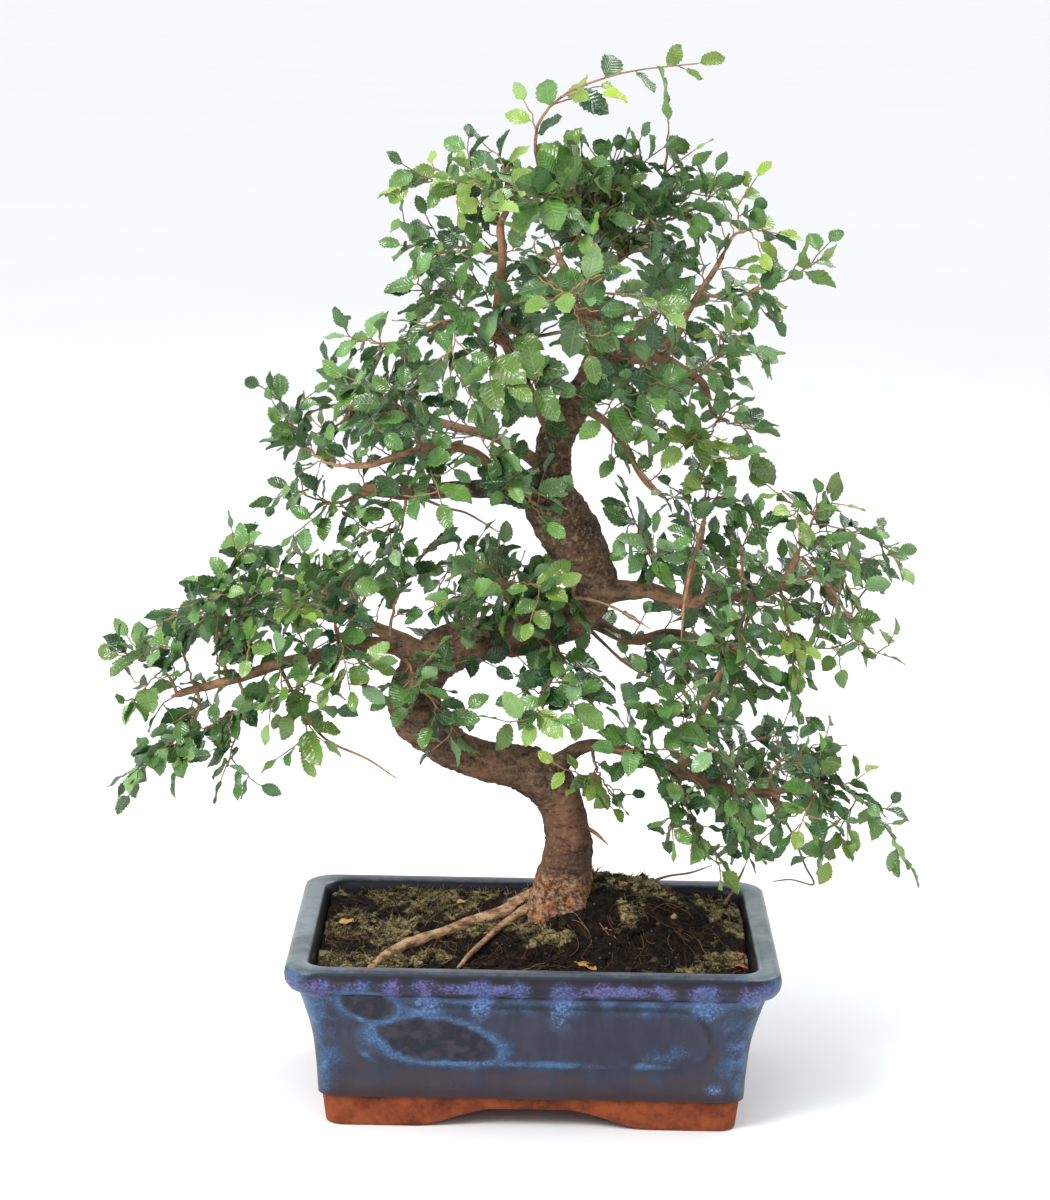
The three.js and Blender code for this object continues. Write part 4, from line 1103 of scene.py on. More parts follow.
    def fields(
        self, points: Array, inset: Array, normals: Array, depth: Array, panel_middle: float
    ) -> dict[str, Array]:
        """How strong each mark is at each point.

        The glow gathers at corners, walls' ends, below the lip, above the foot and in two pools, and on the
        panel's lower edge it is a painted highlight. The shade darkens the lip, and is painted shade in the
        lip's seam under its overhang, on the inner walls and along the panel's upper edge. Glaze is worn
        under the panel and thin on the lip's ridge. The rim's top is paler on the short walls.

        Args:
            points: The skin's points.
            inset: Their insets.
            normals: Each column's outward normal.
            depth: How far inside the panel's edge they lie.
            panel_middle: The panel's middle height.

        Returns:
            The fields glow, drip, shade, thin, worn and rim.
        """
        x, _, z = np.moveaxis(points, -1, 0)
        row, crest = np.arange(len(points))[:, None], z[:, 0].argmax()
        outside = (row > crest) & (inset < self.glazed_inset)
        front = (normals @ np.array(Face.FRONT.value) > self.facing) & outside
        wobble = layered_noise(points / 8, 4, 4.0)
        corner = smooth_step(np.broadcast_to(np.abs(normals).min(axis=1), x.shape), *self.corner)
        ends = smooth_step(np.abs(x), *self.ends) * (np.abs(normals[:, 1]) > self.facing)
        lit_low_edge, shaded_top_edge, worn_edge = self.panel_marks(depth, z, panel_middle)
        pool = spot(np.abs(x), z, self.pool) * (depth > 0)
        # The glow's term on the panel's lower edge is a painted highlight.
        bright = (
            0.6 * corner, 0.62 * ends, 0.6 * band(z, *self.below_lip), 0.3 * band(z, *self.above_foot),
            0.62 * lit_low_edge, 0.5 * pool,
        )
        # Painted shade in the lip's seam and along the panel's upper edge; the lip band is darker too.
        dark = (0.72 * band(z, *self.lip), 0.75 * stripe(z, *self.seam), 0.58 * shaded_top_edge)
        under = band(z, *self.under_panel) * (1 - corner)
        fields = {
            "glow": strongest(*bright) * (1 + 0.8 * wobble),
            "drip": self.drip_field(points, normals, outside, wobble),
            "shade": strongest(*dark) * (1 - 0.6 * corner),
            "worn": np.maximum(worn_edge, under) * (0.75 + 0.5 * wobble),
        }
        self.add_patches(points, front, wobble, fields)
        speck = 0.9 * front * spot(x, z, self.speck)
        specks = stripe(z, *self.speckled) * outside
        specks = specks * (0.44 + 0.9 * layered_noise(points / (17, 17, 60), 2, 27.0))
        run = front * spot(x, z, self.run)
        glow = np.maximum(fields["glow"], 0.85 * run * (1 - fields["shade"]))
        ridge = stripe(z, *self.ridge) * outside * (0.8 + wobble) * (1 - 0.7 * corner)
        # Painted shade on the inner walls.
        inside_wall = smooth_step(-z, *self.inside_top) * (row < crest)
        pale = self.long_rim + (1 - self.long_rim) * smooth_step(np.abs(x), *self.pale_ends)
        top = smooth_step(z, *self.rim_top) * (1 - inside_wall) * pale
        return {
            "glow": np.clip(glow, 0, 1) * outside,
            "drip": strongest(fields["drip"], speck, specks),
            "shade": np.clip(np.maximum(fields["shade"] * outside, 0.8 * inside_wall), 0, 1),
            "thin": np.clip(ridge, 0, 1),
            "worn": np.clip(fields["worn"], 0, 1) * outside,
            "rim": top * smooth_step(inset, *self.rim_inset),
        }


@dataclass
class Pot:
    """The glazed pot: a rolled rim, hollow walls with a raised panel front and back, and four feet.

    All sizes are in millimetres. An inset is how far a point lies inside the rim's outer edge.
    """

    length: float = 210
    width: float = 150
    corner: float = 13
    glaze_foot: float = 14.1
    foot_inset: float = 17.2
    foot_rim: float = 9
    underside: float = 8.4
    arch: Pair = (14, 52)
    side_arch: Pair = (8, 28)
    panel_length: float = 151
    panel_height: float = 29
    panel_middle: float = 43
    panel_raise: float = 1
    panel_insets: Pair = (13.1, 7)
    drain_x: float = 48
    drain_radius: float = 7
    long_steps: int = 112
    short_steps: int = 72
    corner_steps: int = 8
    drain_span: Pair = (4, 18)
    along_wall: float = 0.99
    panel_edge: Pair = (-1.1, 2.3)
    wall: tuple[Row, ...] = ((14.1, 14), (26, 13.2), (40, 11.6), (52, 8.6), (61.2, 5.2), (63, 2.2))
    rim: tuple[Row, ...] = (
        (63, 2.2), (66, 0.4), (69.5, 0), (72.3, 0.7), (73.3, 2), (73.6, 4), (73.5, 7), (72.9, 9),
        (71, 10.3), (66, 11.4),
    )
    inside: tuple[Row, ...] = ((66, 11.4), (58, 13.6), (40, 17), (22, 19.4), (14, 20.5))
    foot_face: tuple[Row, ...] = ((0.96, -1.6), (0.6, -0.9), (0.3, -0.4), (0.08, 0), (0.02, 0.3), (0, 0.9))
    marks: GlazeMarks = GlazeMarks()

    def template(self) -> tuple[Array, Array]:
        """The perimeter, counter-clockwise from the right wall's near end.

        The shares of the reach slide along a wall while the normal stays, and stay on a corner while it
        turns.

        Returns:
            Shares and normals, each columns by 2.
        """
        shares, normals = [], []
        for quarter, steps in enumerate((self.short_steps, self.long_steps) * 2):
            turn = quarter * np.pi / 2
            straight = np.linspace(-1, 1, steps, endpoint=False)
            heading = np.array((np.cos(turn), np.sin(turn)))
            aside = np.array((-heading[1], heading[0]))
            shares.append(heading + straight[:, None] * aside)
            normals.append(np.tile(heading, (steps, 1)))
            angle = turn + np.linspace(0, np.pi / 2, self.corner_steps, endpoint=False)
            shares.append(np.tile(heading + aside, (self.corner_steps, 1)))
            normals.append(spread_points(np.cos(angle), np.sin(angle)))
        return np.concatenate(shares), np.round(np.concatenate(normals), 9)

    def profile(self, rows: Sequence[Row], count: int) -> Array:
        """A smooth run of heights and insets through stations."""
        return smooth_course([(z, inset, 0) for z, inset in rows], count)[:, :2]

    def plan(self, inset: Array) -> Array:
        """Points in plan at insets of rings by columns or rings by 1."""
        shares, normals = self.template()
        inset = np.broadcast_to(inset, (len(inset), len(shares)))[..., None]
        corner = np.maximum(self.corner - inset * 0.3, 4)
        reach = np.array((self.length / 2, self.width / 2)) - inset - corner
        return shares * reach + normals * corner

    def arch_height(self) -> Array:
        """The height of the foot's lower edge at each column: a flat crown between two S-shaped runs."""
        spot = self.plan(np.array([[self.foot_inset]]))[0]
        lift = [
            smooth_step(-np.abs(spot[:, axis]), -feet, -crown)
            for axis, (crown, feet) in enumerate((self.arch, self.side_arch))
        ]
        across, along = np.abs(self.template()[1]).T > self.along_wall
        return np.where(along, lift[0], np.where(across, lift[1], 0)) * (self.underside - 0.1)

    def panel_depth(self, spot: Array, height: Array) -> Array:
        """How far a point lies inside the stadium-shaped panel's edge; far outside on the short walls."""
        _, normals = self.template()
        half = self.panel_height / 2
        straight = self.panel_length / 2 - half
        distance = np.hypot(np.maximum(np.abs(spot[..., 0]) - straight, 0), height - self.panel_middle)
        return np.where(np.abs(normals[:, 1]) > self.along_wall, half - distance, -99.0)

    def grid(self) -> tuple[Array, dict[str, Array]]:
        """The whole skin as rings from the floor inside, over the rim and down to the underside.

        Returns:
            The points in millimetres, and the glaze's fields at each.
        """
        inner = self.profile(self.inside, 14)[::-1]
        lip = self.profile(self.rim, 40)[::-1]
        wall = self.profile(self.wall, 54)[::-1]
        skin = np.concatenate([inner[:-1], lip[:-1], wall])
        height = np.repeat(skin[:, :1], len(self.template()[0]), axis=1)
        inset = np.repeat(skin[:, 1:], height.shape[1], axis=1)
        on_wall = (np.arange(len(skin)) >= len(inner) + len(lip) - 2)[:, None]
        share = smooth_step(self.panel_depth(self.plan(inset), height), *self.panel_edge) * on_wall
        low = self.panel_middle - self.panel_height / 2
        slope = (self.panel_insets[1] - self.panel_insets[0]) / self.panel_height
        plate = self.panel_insets[0] + slope * (height - low) - self.panel_raise
        inset = inset + (plate - inset) * share
        foot_z, foot_inset = self.foot(height.shape[1])
        height = np.concatenate([height, foot_z])
        inset = np.concatenate([inset, foot_inset])
        points = np.concatenate([self.plan(inset), height[..., None]], axis=-1)
        depth = self.panel_depth(points, points[..., 2])
        return points, self.marks.fields(points, inset, self.template()[1], depth, self.panel_middle)

    def foot(self, columns: int) -> tuple[Array, Array]:
        """The rings below the glaze: down the foot's face to its arched edge, and up behind it.

        A row of the face is a share of the height from the edge to the glaze, and how far further in it
        lies than the foot's own inset.
        """
        edge = self.arch_height()
        back = self.foot_inset + self.foot_rim
        heights = [edge + share * (self.glaze_foot - edge) for share, _ in self.foot_face]
        insets = [np.full(columns, self.foot_inset + inset) for _, inset in self.foot_face]
        heights += [edge, edge + 0.05 * (self.underside - edge), np.full(columns, self.underside)]
        insets += [np.full(columns, back - 0.9), np.full(columns, back), np.full(columns, back)]
        return np.array(heights), np.array(insets)

    def drain(self, x: float) -> bpy.types.Object:
        """A round plug that cuts one drain hole."""
        surface = Surface()
        path = np.array([(x, 0, z) for z in self.drain_span], float)
        surface.add(tube_grid(to_frame(path), np.full(2, self.drain_radius * MM), 32))
        return surface.build("drain_cutter", [])

    def build(self) -> None:
        """Makes the skin, cuts the drain holes and seats it."""
        points, fields = self.grid()
        texture = (np.linspace(0, 1, points.shape[1]), np.linspace(0, 1, len(points))[:, None])
        upward = {name: values[::-1] for name, values in fields.items()}
        surface = Surface("glow", "drip", "shade", "thin", "worn", "rim")
        surface.add(to_frame(points[::-1]), texture=texture, **upward)
        pot = surface.build("glazed_pot", [GlazedClay().material()], 50)
        for x in (-self.drain_x, self.drain_x):
            cutter = self.drain(x)
            cut = pot.modifiers.new("drain", "BOOLEAN")
            cut.operation, cut.solver, cut.object = "DIFFERENCE", "MANIFOLD", cutter
            apply_modifiers(pot)
            bpy.data.objects.remove(cutter)
        seat_piece(pot, "glazed_clay", "pot")


def apply_modifiers(piece: bpy.types.Object) -> None:
    """Makes the piece's shown shape its own mesh, and takes its modifiers off."""
    bpy.context.view_layer.update()
    graph = bpy.context.evaluated_depsgraph_get()
    shown = piece.evaluated_get(graph)
    mesh = bpy.data.meshes.new_from_object(shown, preserve_all_data_layers=True, depsgraph=graph)
    piece.modifiers.clear()
    piece.data = mesh


@dataclass
class SoilBed:
    """The mound of soil with its moss, and the litter that lies on it. Sizes are in millimetres."""

    edge_height: float = 65
    mound_height: float = 24
    mound: Row = (32, 50, 20, 30)
    floor: float = 14.3
    rings: int = 90
    crumbs: int = 900
    tufts: int = 620
    sprigs: int = 1900
    fibres: int = 420
    spread: Pair = (178, 120)
    fibre_reach: Pair = (91, 61)
    fibre_points: int = 9
    collar: tuple[float, float, float, float] = (13, 8, 14, 6)
    collar_height: float = 3.2
    back_height: float = 4.6
    back_bank: Row = (-50, 44, 50, 26)
    moss_left: Row = (0.75, -58, 40, 22, 32)
    moss_mound: Row = (0.5, 56, 34, 22, 22)
    moss_bare: Row = (1.1, 12, 46, -38, 30)

    def moss(self, x: Array, y: Array) -> Array:
        """How mossy the soil is: broad patches at the left and back and on the mound, none in the front."""
        spots = spread_points(x / 21, y / 15, 0)
        rows = (self.moss_left, self.moss_mound, self.moss_bare)
        left, mound, bare = (height * spot(x, y, row) for height, *row in rows)
        return smooth_step(layered_noise(spots, 3, 9.0) + left + mound - bare, -0.1, 0.6)

    def top(self, x: Array, y: Array) -> Array:
        """The surface's heights: the edge's, plus the mound, ripples, lumps, banks and moss.

        Args:
            x: The points' X.
            y: The points' Y.

        Returns:
            The heights.
        """
        spots = spread_points(x, y, 0)
        mound = self.mound_height * spot(x, y, self.mound)
        ripple = 0.7 * np.sin(0.19 * x + 1) * np.sin(0.23 * y) + 0.5 * np.sin(0.41 * x - 0.3 * y)
        lumps = 1.3 * layered_noise(spots / 8, 3, 21.0) + 0.9 * np.abs(layered_noise(spots / 2.4, 2, 33.0))
        trunk_x, trunk_y, radius, width = self.collar
        bank = self.collar_height * bell((np.hypot(x - trunk_x, y - trunk_y), radius, width))
        bank = bank + self.back_height * spot(x, y, self.back_bank)
        moss = self.moss(x, y) * (0.8 + 0.5 * lattice_noise(spots / 1.6, 5.0))
        return self.edge_height + mound + ripple + lumps + bank + moss

    def build_bed(self, pot: Pot, finish: Material) -> None:
        """Makes the bed: rings that shrink from the pot's wall to the middle, over a plain buried block.

        Args:
            pot: The pot whose inside it fills.
            finish: The soil's material.
        """
        inside = pot.profile(pot.inside, 12)[::-1]
        block = inside[inside[:, 0] < self.edge_height - 4]
        block = np.vstack([(self.floor, block[0, 1]), block[1:]])
        walls = pot.plan(block[:, 1:] + 0.3)
        rim = pot.plan(np.array([[12.4]]))[0]
        share = np.linspace(1, 0.015, self.rings)[:, None, None]
        plan = np.concatenate([walls, rim * share])
        height = np.repeat(block[:, :1], plan.shape[1], axis=1)
        height = np.concatenate([height, self.top(plan[len(block):, :, 0], plan[len(block):, :, 1])])
        surface = Surface("moss")
        points = np.concatenate([plan, height[..., None]], axis=-1)
        surface.add(to_frame(points), moss=self.moss(plan[..., 0], plan[..., 1]))
        seat_piece(surface.build("soil_bed", [finish], UNCREASED), "soil", "soil")

    def scatter(self, count: int, seed: float) -> tuple[Array, Array]:
        """Spots strewn over the soil, inside the pot's walls."""
        order = np.arange(count)
        return (draw(seed, order) - 0.5) * self.spread[0], (draw(seed + 1, order) - 0.5) * self.spread[1]

    def lumps(self, x: Array, y: Array, sizes: Array, seed: float, squat: float) -> Array:
        """Rounded, uneven lumps on the soil: a ball of five rings whose radius varies by a draw a point."""
        order = np.arange(len(x))
        polar = np.linspace(0.06, 0.94, 5)[:, None] * np.pi
        angle = full_turn(6) + polar * 0.6
        rim = np.sin(polar)
        ball = spread_points(rim * np.cos(angle), rim * np.sin(angle), -np.cos(polar) * squat)
        uneven = 0.7 + 0.6 * draw(seed, order[:, None, None] * 31 + np.arange(30).reshape(5, 6))
        centre = spread_points(x, y, self.top(x, y) + sizes * 0.2 * squat)
        return centre[:, None, None] + ball * (uneven * sizes[:, None, None])[..., None]

    def sprig_grid(self, x: Array, y: Array, seed: float) -> Array:
        """Short leaning moss stems: rings on a line that bows over, each thinner than the one below."""
        order = np.arange(len(x))
        turn = 2 * np.pi * draw(seed, order)
        lean = (0.3 + 1.3 * draw(seed + 1, order))[:, None]
        size = (1.4 + 2.6 * draw(seed + 2, order) ** 2)[:, None]
        share = np.array((0, 0.5, 1.0))
        aside = size * lean * share**1.5
        foot = spread_points(x, y, self.top(x, y) - 0.2)[:, None]
        turn = turn[:, None]
        offset = spread_points(aside * np.cos(turn), aside * np.sin(turn), size * share)
        angle = np.arange(3) * 2 * np.pi / 3
        ring = spread_points(np.cos(angle), np.sin(angle), 0)
        return (foot + offset)[:, :, None] + ring * np.array((0.34, 0.26, 0.08))[:, None, None]

    def fibre_paths(self) -> Array:
        """Dead fibres that curl over the soil: steps whose heading turns evenly, each on its own arc."""
        x, y = self.scatter(self.fibres, 60.0)
        order = np.arange(self.fibres)
        turn = 2 * np.pi * draw(61, order)[:, None]
        angle = turn + np.linspace(-1, 1, self.fibre_points) * (draw(62, order)[:, None] - 0.5) * 2.4
        step = (0.9 + 2.1 * draw(63, order))[:, None]
        reach_x, reach_y = self.fibre_reach
        run_x = np.clip(x[:, None] + np.cumsum(np.cos(angle) * step, axis=1), -reach_x, reach_x)
        run_y = np.clip(y[:, None] + np.cumsum(np.sin(angle) * step, axis=1), -reach_y, reach_y)
        return spread_points(run_x, run_y, self.top(run_x, run_y) + 0.5)

    def build_litter(self, soil_finish: Material, litter_finish: Material) -> None:
        """Makes the crumbs and the dead fibres in one mesh, and the moss in another."""
        surface = Surface("tone")
        x, y = self.scatter(self.crumbs, 50.0)
        order = np.arange(self.crumbs)
        sizes = 0.4 + 1.7 * draw(52, order) ** 4
        tone = 0.55 * draw(53, order) ** 2 + 0.4 * (draw(54, order) > 0.95)
        surface.add(to_frame(self.lumps(x, y, sizes, 55, 0.8)), tone=tone[:, None, None])
        for k, path in enumerate(self.fibre_paths()):
            thickness = np.full(self.fibre_points, 0.1 + 0.2 * draw(64, k) ** 2)
            surface.add(to_frame_tube(path, thickness, 4), tone=0.2 + 0.7 * draw(65, k) ** 1.6)
        seat_piece(surface.build("soil_litter", [litter_finish], UNCREASED), "soil")
        moss = Surface("moss")
        x, y = self.scatter(self.tufts * 3, 70.0)
        chosen = np.argsort(-self.moss(x, y), kind="stable")[: self.tufts]
        x, y = x[chosen], y[chosen]
        sizes = 0.8 + 1.5 * draw(72, chosen)
        moss.add(to_frame(self.lumps(x, y, sizes, 73, 0.5)), moss=1)
        x, y = self.scatter(self.sprigs * 3, 80.0)
        chosen = np.argsort(-self.moss(x, y) - 0.3 * draw(82, np.arange(len(x))), kind="stable")
        x, y = x[chosen[: self.sprigs]], y[chosen[: self.sprigs]]
        moss.add(to_frame(self.sprig_grid(x, y, 83.0)), moss=1)
        seat_piece(moss.build("moss_tufts", [soil_finish], UNCREASED), "soil")

    def build_fallen_leaves(self, blades: "Blades", finish: Material) -> None:
        """Lays the few fallen leaves on the soil: place, heading, length and tone."""
        spots = (
            (-88, 14, 0.3, 8, 0.75, 0), (18, -36, -0.5, 9, 0.5, 0), (90, -28, 1.7, 5, 0.1, 0.9),
            (92, -38, 2.6, 5, 0.1, 0.6), (-52, 38, 2.0, 6, 0.3, 0), (64, 46, 0.9, 7, 0.5, 0),
            (34, -10, 2.8, 5, 0.2, 0), (-30, 30, 4.0, 5, 0.5, 0),
        )
        x, y, turn, length, tint, youth = np.array(spots, float).T
        root = spread_points(x, y, self.top(x, y) + 1.2)
        direction = unit(spread_points(np.cos(turn), np.sin(turn), 0.12 * np.sin(5 * turn)))
        face = np.tile((0.15, -0.1, 1.0), (len(x), 1))
        surface = Surface("tint", "youth", "girth")
        blades.add(surface, LeafRun(root, direction, face, length, tint, youth))
        seat_piece(surface.build("fallen_leaves", [finish] * 3), "soil")


@dataclass
class Wood:
    """The trunk, its branches, surface roots and bare twigs, as one skin of tubes."""

    trunk_rings: int = 520
    trunk_sides: int = 72
    branch_sides: int = 12
    stout_sides: int = 18
    stout: float = 3.9
    root_sides: int = 16
    twig_sides: int = 7
    branch_step: float = 1.1
    fewest_rings: int = 12
    taper: float = 6
    thinnest: float = 0.25
    relief: float = 0.8
    collar: Row = (60, 70, 84, 104)

    def girth_swell(self, path: Array, radii: Array, sides: int, seed: float) -> Array:
        """Radii with knots and a flared foot: each is its own radius times slow noise round and along."""
        run = run_along(path)
        flare = 1 + 0.45 * np.exp(-run / (2.2 * radii[0]))
        angle = full_turn(sides)
        spots = spread_points(np.cos(angle) * 1.1, np.sin(angle) * 1.1, (run / 6.5)[:, None])
        return (radii * flare)[:, None] * (1 + 0.13 * layered_noise(spots, 3, seed))

    def trunk(self) -> tuple[Array, Array]:
        """The trunk's skin.

        The radius is a station's own, times 1 plus five root lobes that fade upwards, plus two slow waves
        round and along it. Wrinkles, lumps and flakes then lift each point outwards.

        Returns:
            The grid, and the radius at each ring.
        """
        course = smooth_course(TRUNK, self.trunk_rings)
        path, radii = course[:, :3], course[:, 3]
        angle = full_turn(self.trunk_sides)
        share = np.linspace(0, 1, self.trunk_rings)[:, None]
        lobes = 0.16 * np.exp(-share / 0.1) * np.cos(5 * angle + 0.6)
        swelling = 0.05 * np.sin(3 * angle + 17 * share) + 0.04 * np.sin(2 * angle - 31 * share)
        smooth = tube_grid(path, radii[:, None] * (1 + lobes + swelling), self.trunk_sides)
        outward = unit(smooth - path[:, None])
        around = np.broadcast_to(run_along(path)[:, None, None], smooth.shape[:2] + (1,)) * (0.62, 0, 0)
        wrinkles = 1 - 2 * np.abs(layered_noise(outward * 2.2 + around, 2, 12.0))
        lumps = layered_noise(smooth / 11, 2, 15.0)
        flakes = smooth_step(layered_noise(smooth / (3.1, 3.1, 2.4), 2, 18.0), 0.0, 0.3)
        size = np.minimum(radii, 10)[:, None] / 10
        lift = self.relief * size * (0.5 * wrinkles + 1.7 * lumps + 0.7 * flakes)
        return smooth + outward * lift[..., None], radii

    def build(self, finish: Material) -> None:
        """Makes the wood in one mesh and seats it."""
        surface = Surface("girth", "root", "crown")
        grid, radii = self.trunk()
        surface.add(to_frame(grid), girth=radii[:, None], crown=band(grid[..., 2], *self.collar))
        for rows, sides, root in self.limbs():
            length = steps_along(np.array(rows)).sum()
            count = max(int(length / self.branch_step), self.fewest_rings)
            course = smooth_course(rows, count)
            path = course[:, :3].copy()
            wander = layered_noise(path / 9, 2, 30.0)[:, None] * (0.12, 0.2, 0.16) * course[:, 3:]
            path += wander * np.linspace(0, 1, count)[:, None]
            end = smooth_step(np.arange(count), count - self.taper / self.branch_step, count - 1)
            radii = np.maximum(course[:, 3] * (1 - 0.6 * end), self.thinnest)
            swell = self.girth_swell(path, radii, sides, 40.0 + len(rows))
            surface.add(to_frame_tube(path, swell, sides), girth=radii[:, None], root=root)
        seat_piece(surface.build("trunk_and_branches", [finish], UNCREASED), "bark", "wood")

    def limbs(self) -> Iterator[tuple[list[Row], int, float]]:
        """Every branch, root and bare twig with its sides and whether it is a root."""
        for rows in BRANCHES.values():
            yield rows, self.stout_sides if rows[0][3] > self.stout else self.branch_sides, 0
        for rows in ROOTS:
            yield rows, self.root_sides, 1
        for rows in BARE_TWIGS:
            yield rows, self.twig_sides, 0


@dataclass
class LeafRun:
    """Leaves by their places in millimetres: each array has a row for each leaf."""

    root: Array
    direction: Array
    face: Array
    length: Array
    tint: Array
    youth: Array


@dataclass(frozen=True)
class Blades:
    """Leaf blades as stacks of rings, all worked out at once."""

    width_share: float = 0.66
    thickness: float = 0.3
    droop: float = 0.14
    stalk: float = 1.6
    stalk_radius: float = 0.24
    teeth: int = 6
    fold: float = 0.2

    def outline(self) -> tuple[Array, Array]:
        """Stations along a blade and its half-width at each, as a share of the widest.

        The half-width is the sine of pi times t to the 0.86, to the power 0.6, so the blade is broad with
        a blunt tip. A tooth stands out at each odd station, just behind the notch that follows it.

        Returns:
            Stations from 0 to 1 and half-widths.
        """
        order = np.arange(2 * self.teeth + 2)
        odd = order % 2
        station = (order + 0.45 * odd + 0.3) / (2 * self.teeth + 1.8)
        station[-1] = 1
        plain = np.sin(np.pi * np.minimum(station**0.86, 0.998)) ** 0.6
        return station, np.maximum(plain * (0.92 + 0.16 * odd), 0.05)

    def grid(self, leaves: LeafRun) -> Array:
        """Every leaf as rings of four points: stalk rings first, then blade rings to the tip.

        A point stands stalk + length x t along, and half-width x v across. It rises by the fold x |v|
        less droop x length x t squared, plus a wave on the margin. The last lies a thickness lower.

        Args:
            leaves: The leaves.

        Returns:
            Leaves by rings by 4 by 3, in millimetres.
        """
        station, width = self.outline()
        size = leaves.length[:, None, None]
        order = np.arange(len(leaves.length))[:, None, None]
        swing = draw(91.0, order + np.round(leaves.root[:, :1, None], 3)) - 0.5
        share = np.array((1, 0, -1, 0))
        reach = self.stalk + size * station[:, None]
        half = size * self.width_share * (0.5 + 0.12 * swing) * width[:, None]
        sideways = half * share * np.cos(self.fold)
        wave = 0.045 * np.sin(9 * station[:, None] + 7 * swing + 1.5 * share) * share**2
        bend = self.droop * (1 + 1.3 * swing)
        folded = half * np.abs(share) * (self.fold + 0.5 * swing)
        rise = folded + size * (wave - bend * station[:, None] ** 2)
        rise = rise - self.thickness * np.array((0, 0, 0, 1))
        stem_reach = np.array((-0.25, 0.75))[:, None] * self.stalk * np.ones_like(size)
        reach = np.concatenate([stem_reach * np.ones(4), reach * np.ones(4)], axis=1)
        stem_side = self.stalk_radius * share * np.ones_like(stem_reach)
        stem_rise = self.stalk_radius * np.array((0, 1, 0, -1)) * np.ones_like(stem_reach)
        sideways = np.concatenate([stem_side, sideways], axis=1)
        rise = np.concatenate([stem_rise, rise], axis=1)
        lean = np.sum(leaves.direction * leaves.face, axis=-1, keepdims=True)
        face = unit(leaves.face - leaves.direction * lean)
        across = np.cross(face, leaves.direction)
        axes = (leaves.direction, across, face)
        parts = [part[..., None] * axis[:, None, None] for part, axis in zip((reach, sideways, rise), axes)]
        return leaves.root[:, None, None] + sum(parts)

    def add(self, surface: Surface, leaves: LeafRun) -> None:
        """Adds leaves to a surface: slot 1 on the blade's top and slot 2 on its back, after the bark's."""
        station, _ = self.outline()
        along = np.concatenate([[0, 0], station])[:, None]
        across = np.array((1, 0.5, 0, 0.5))
        surface.add(
            to_frame(self.grid(leaves)), np.array((1, 1, 2, 2)), (across, along),
            tint=leaves.tint[:, None, None], youth=leaves.youth[:, None, None],
        )


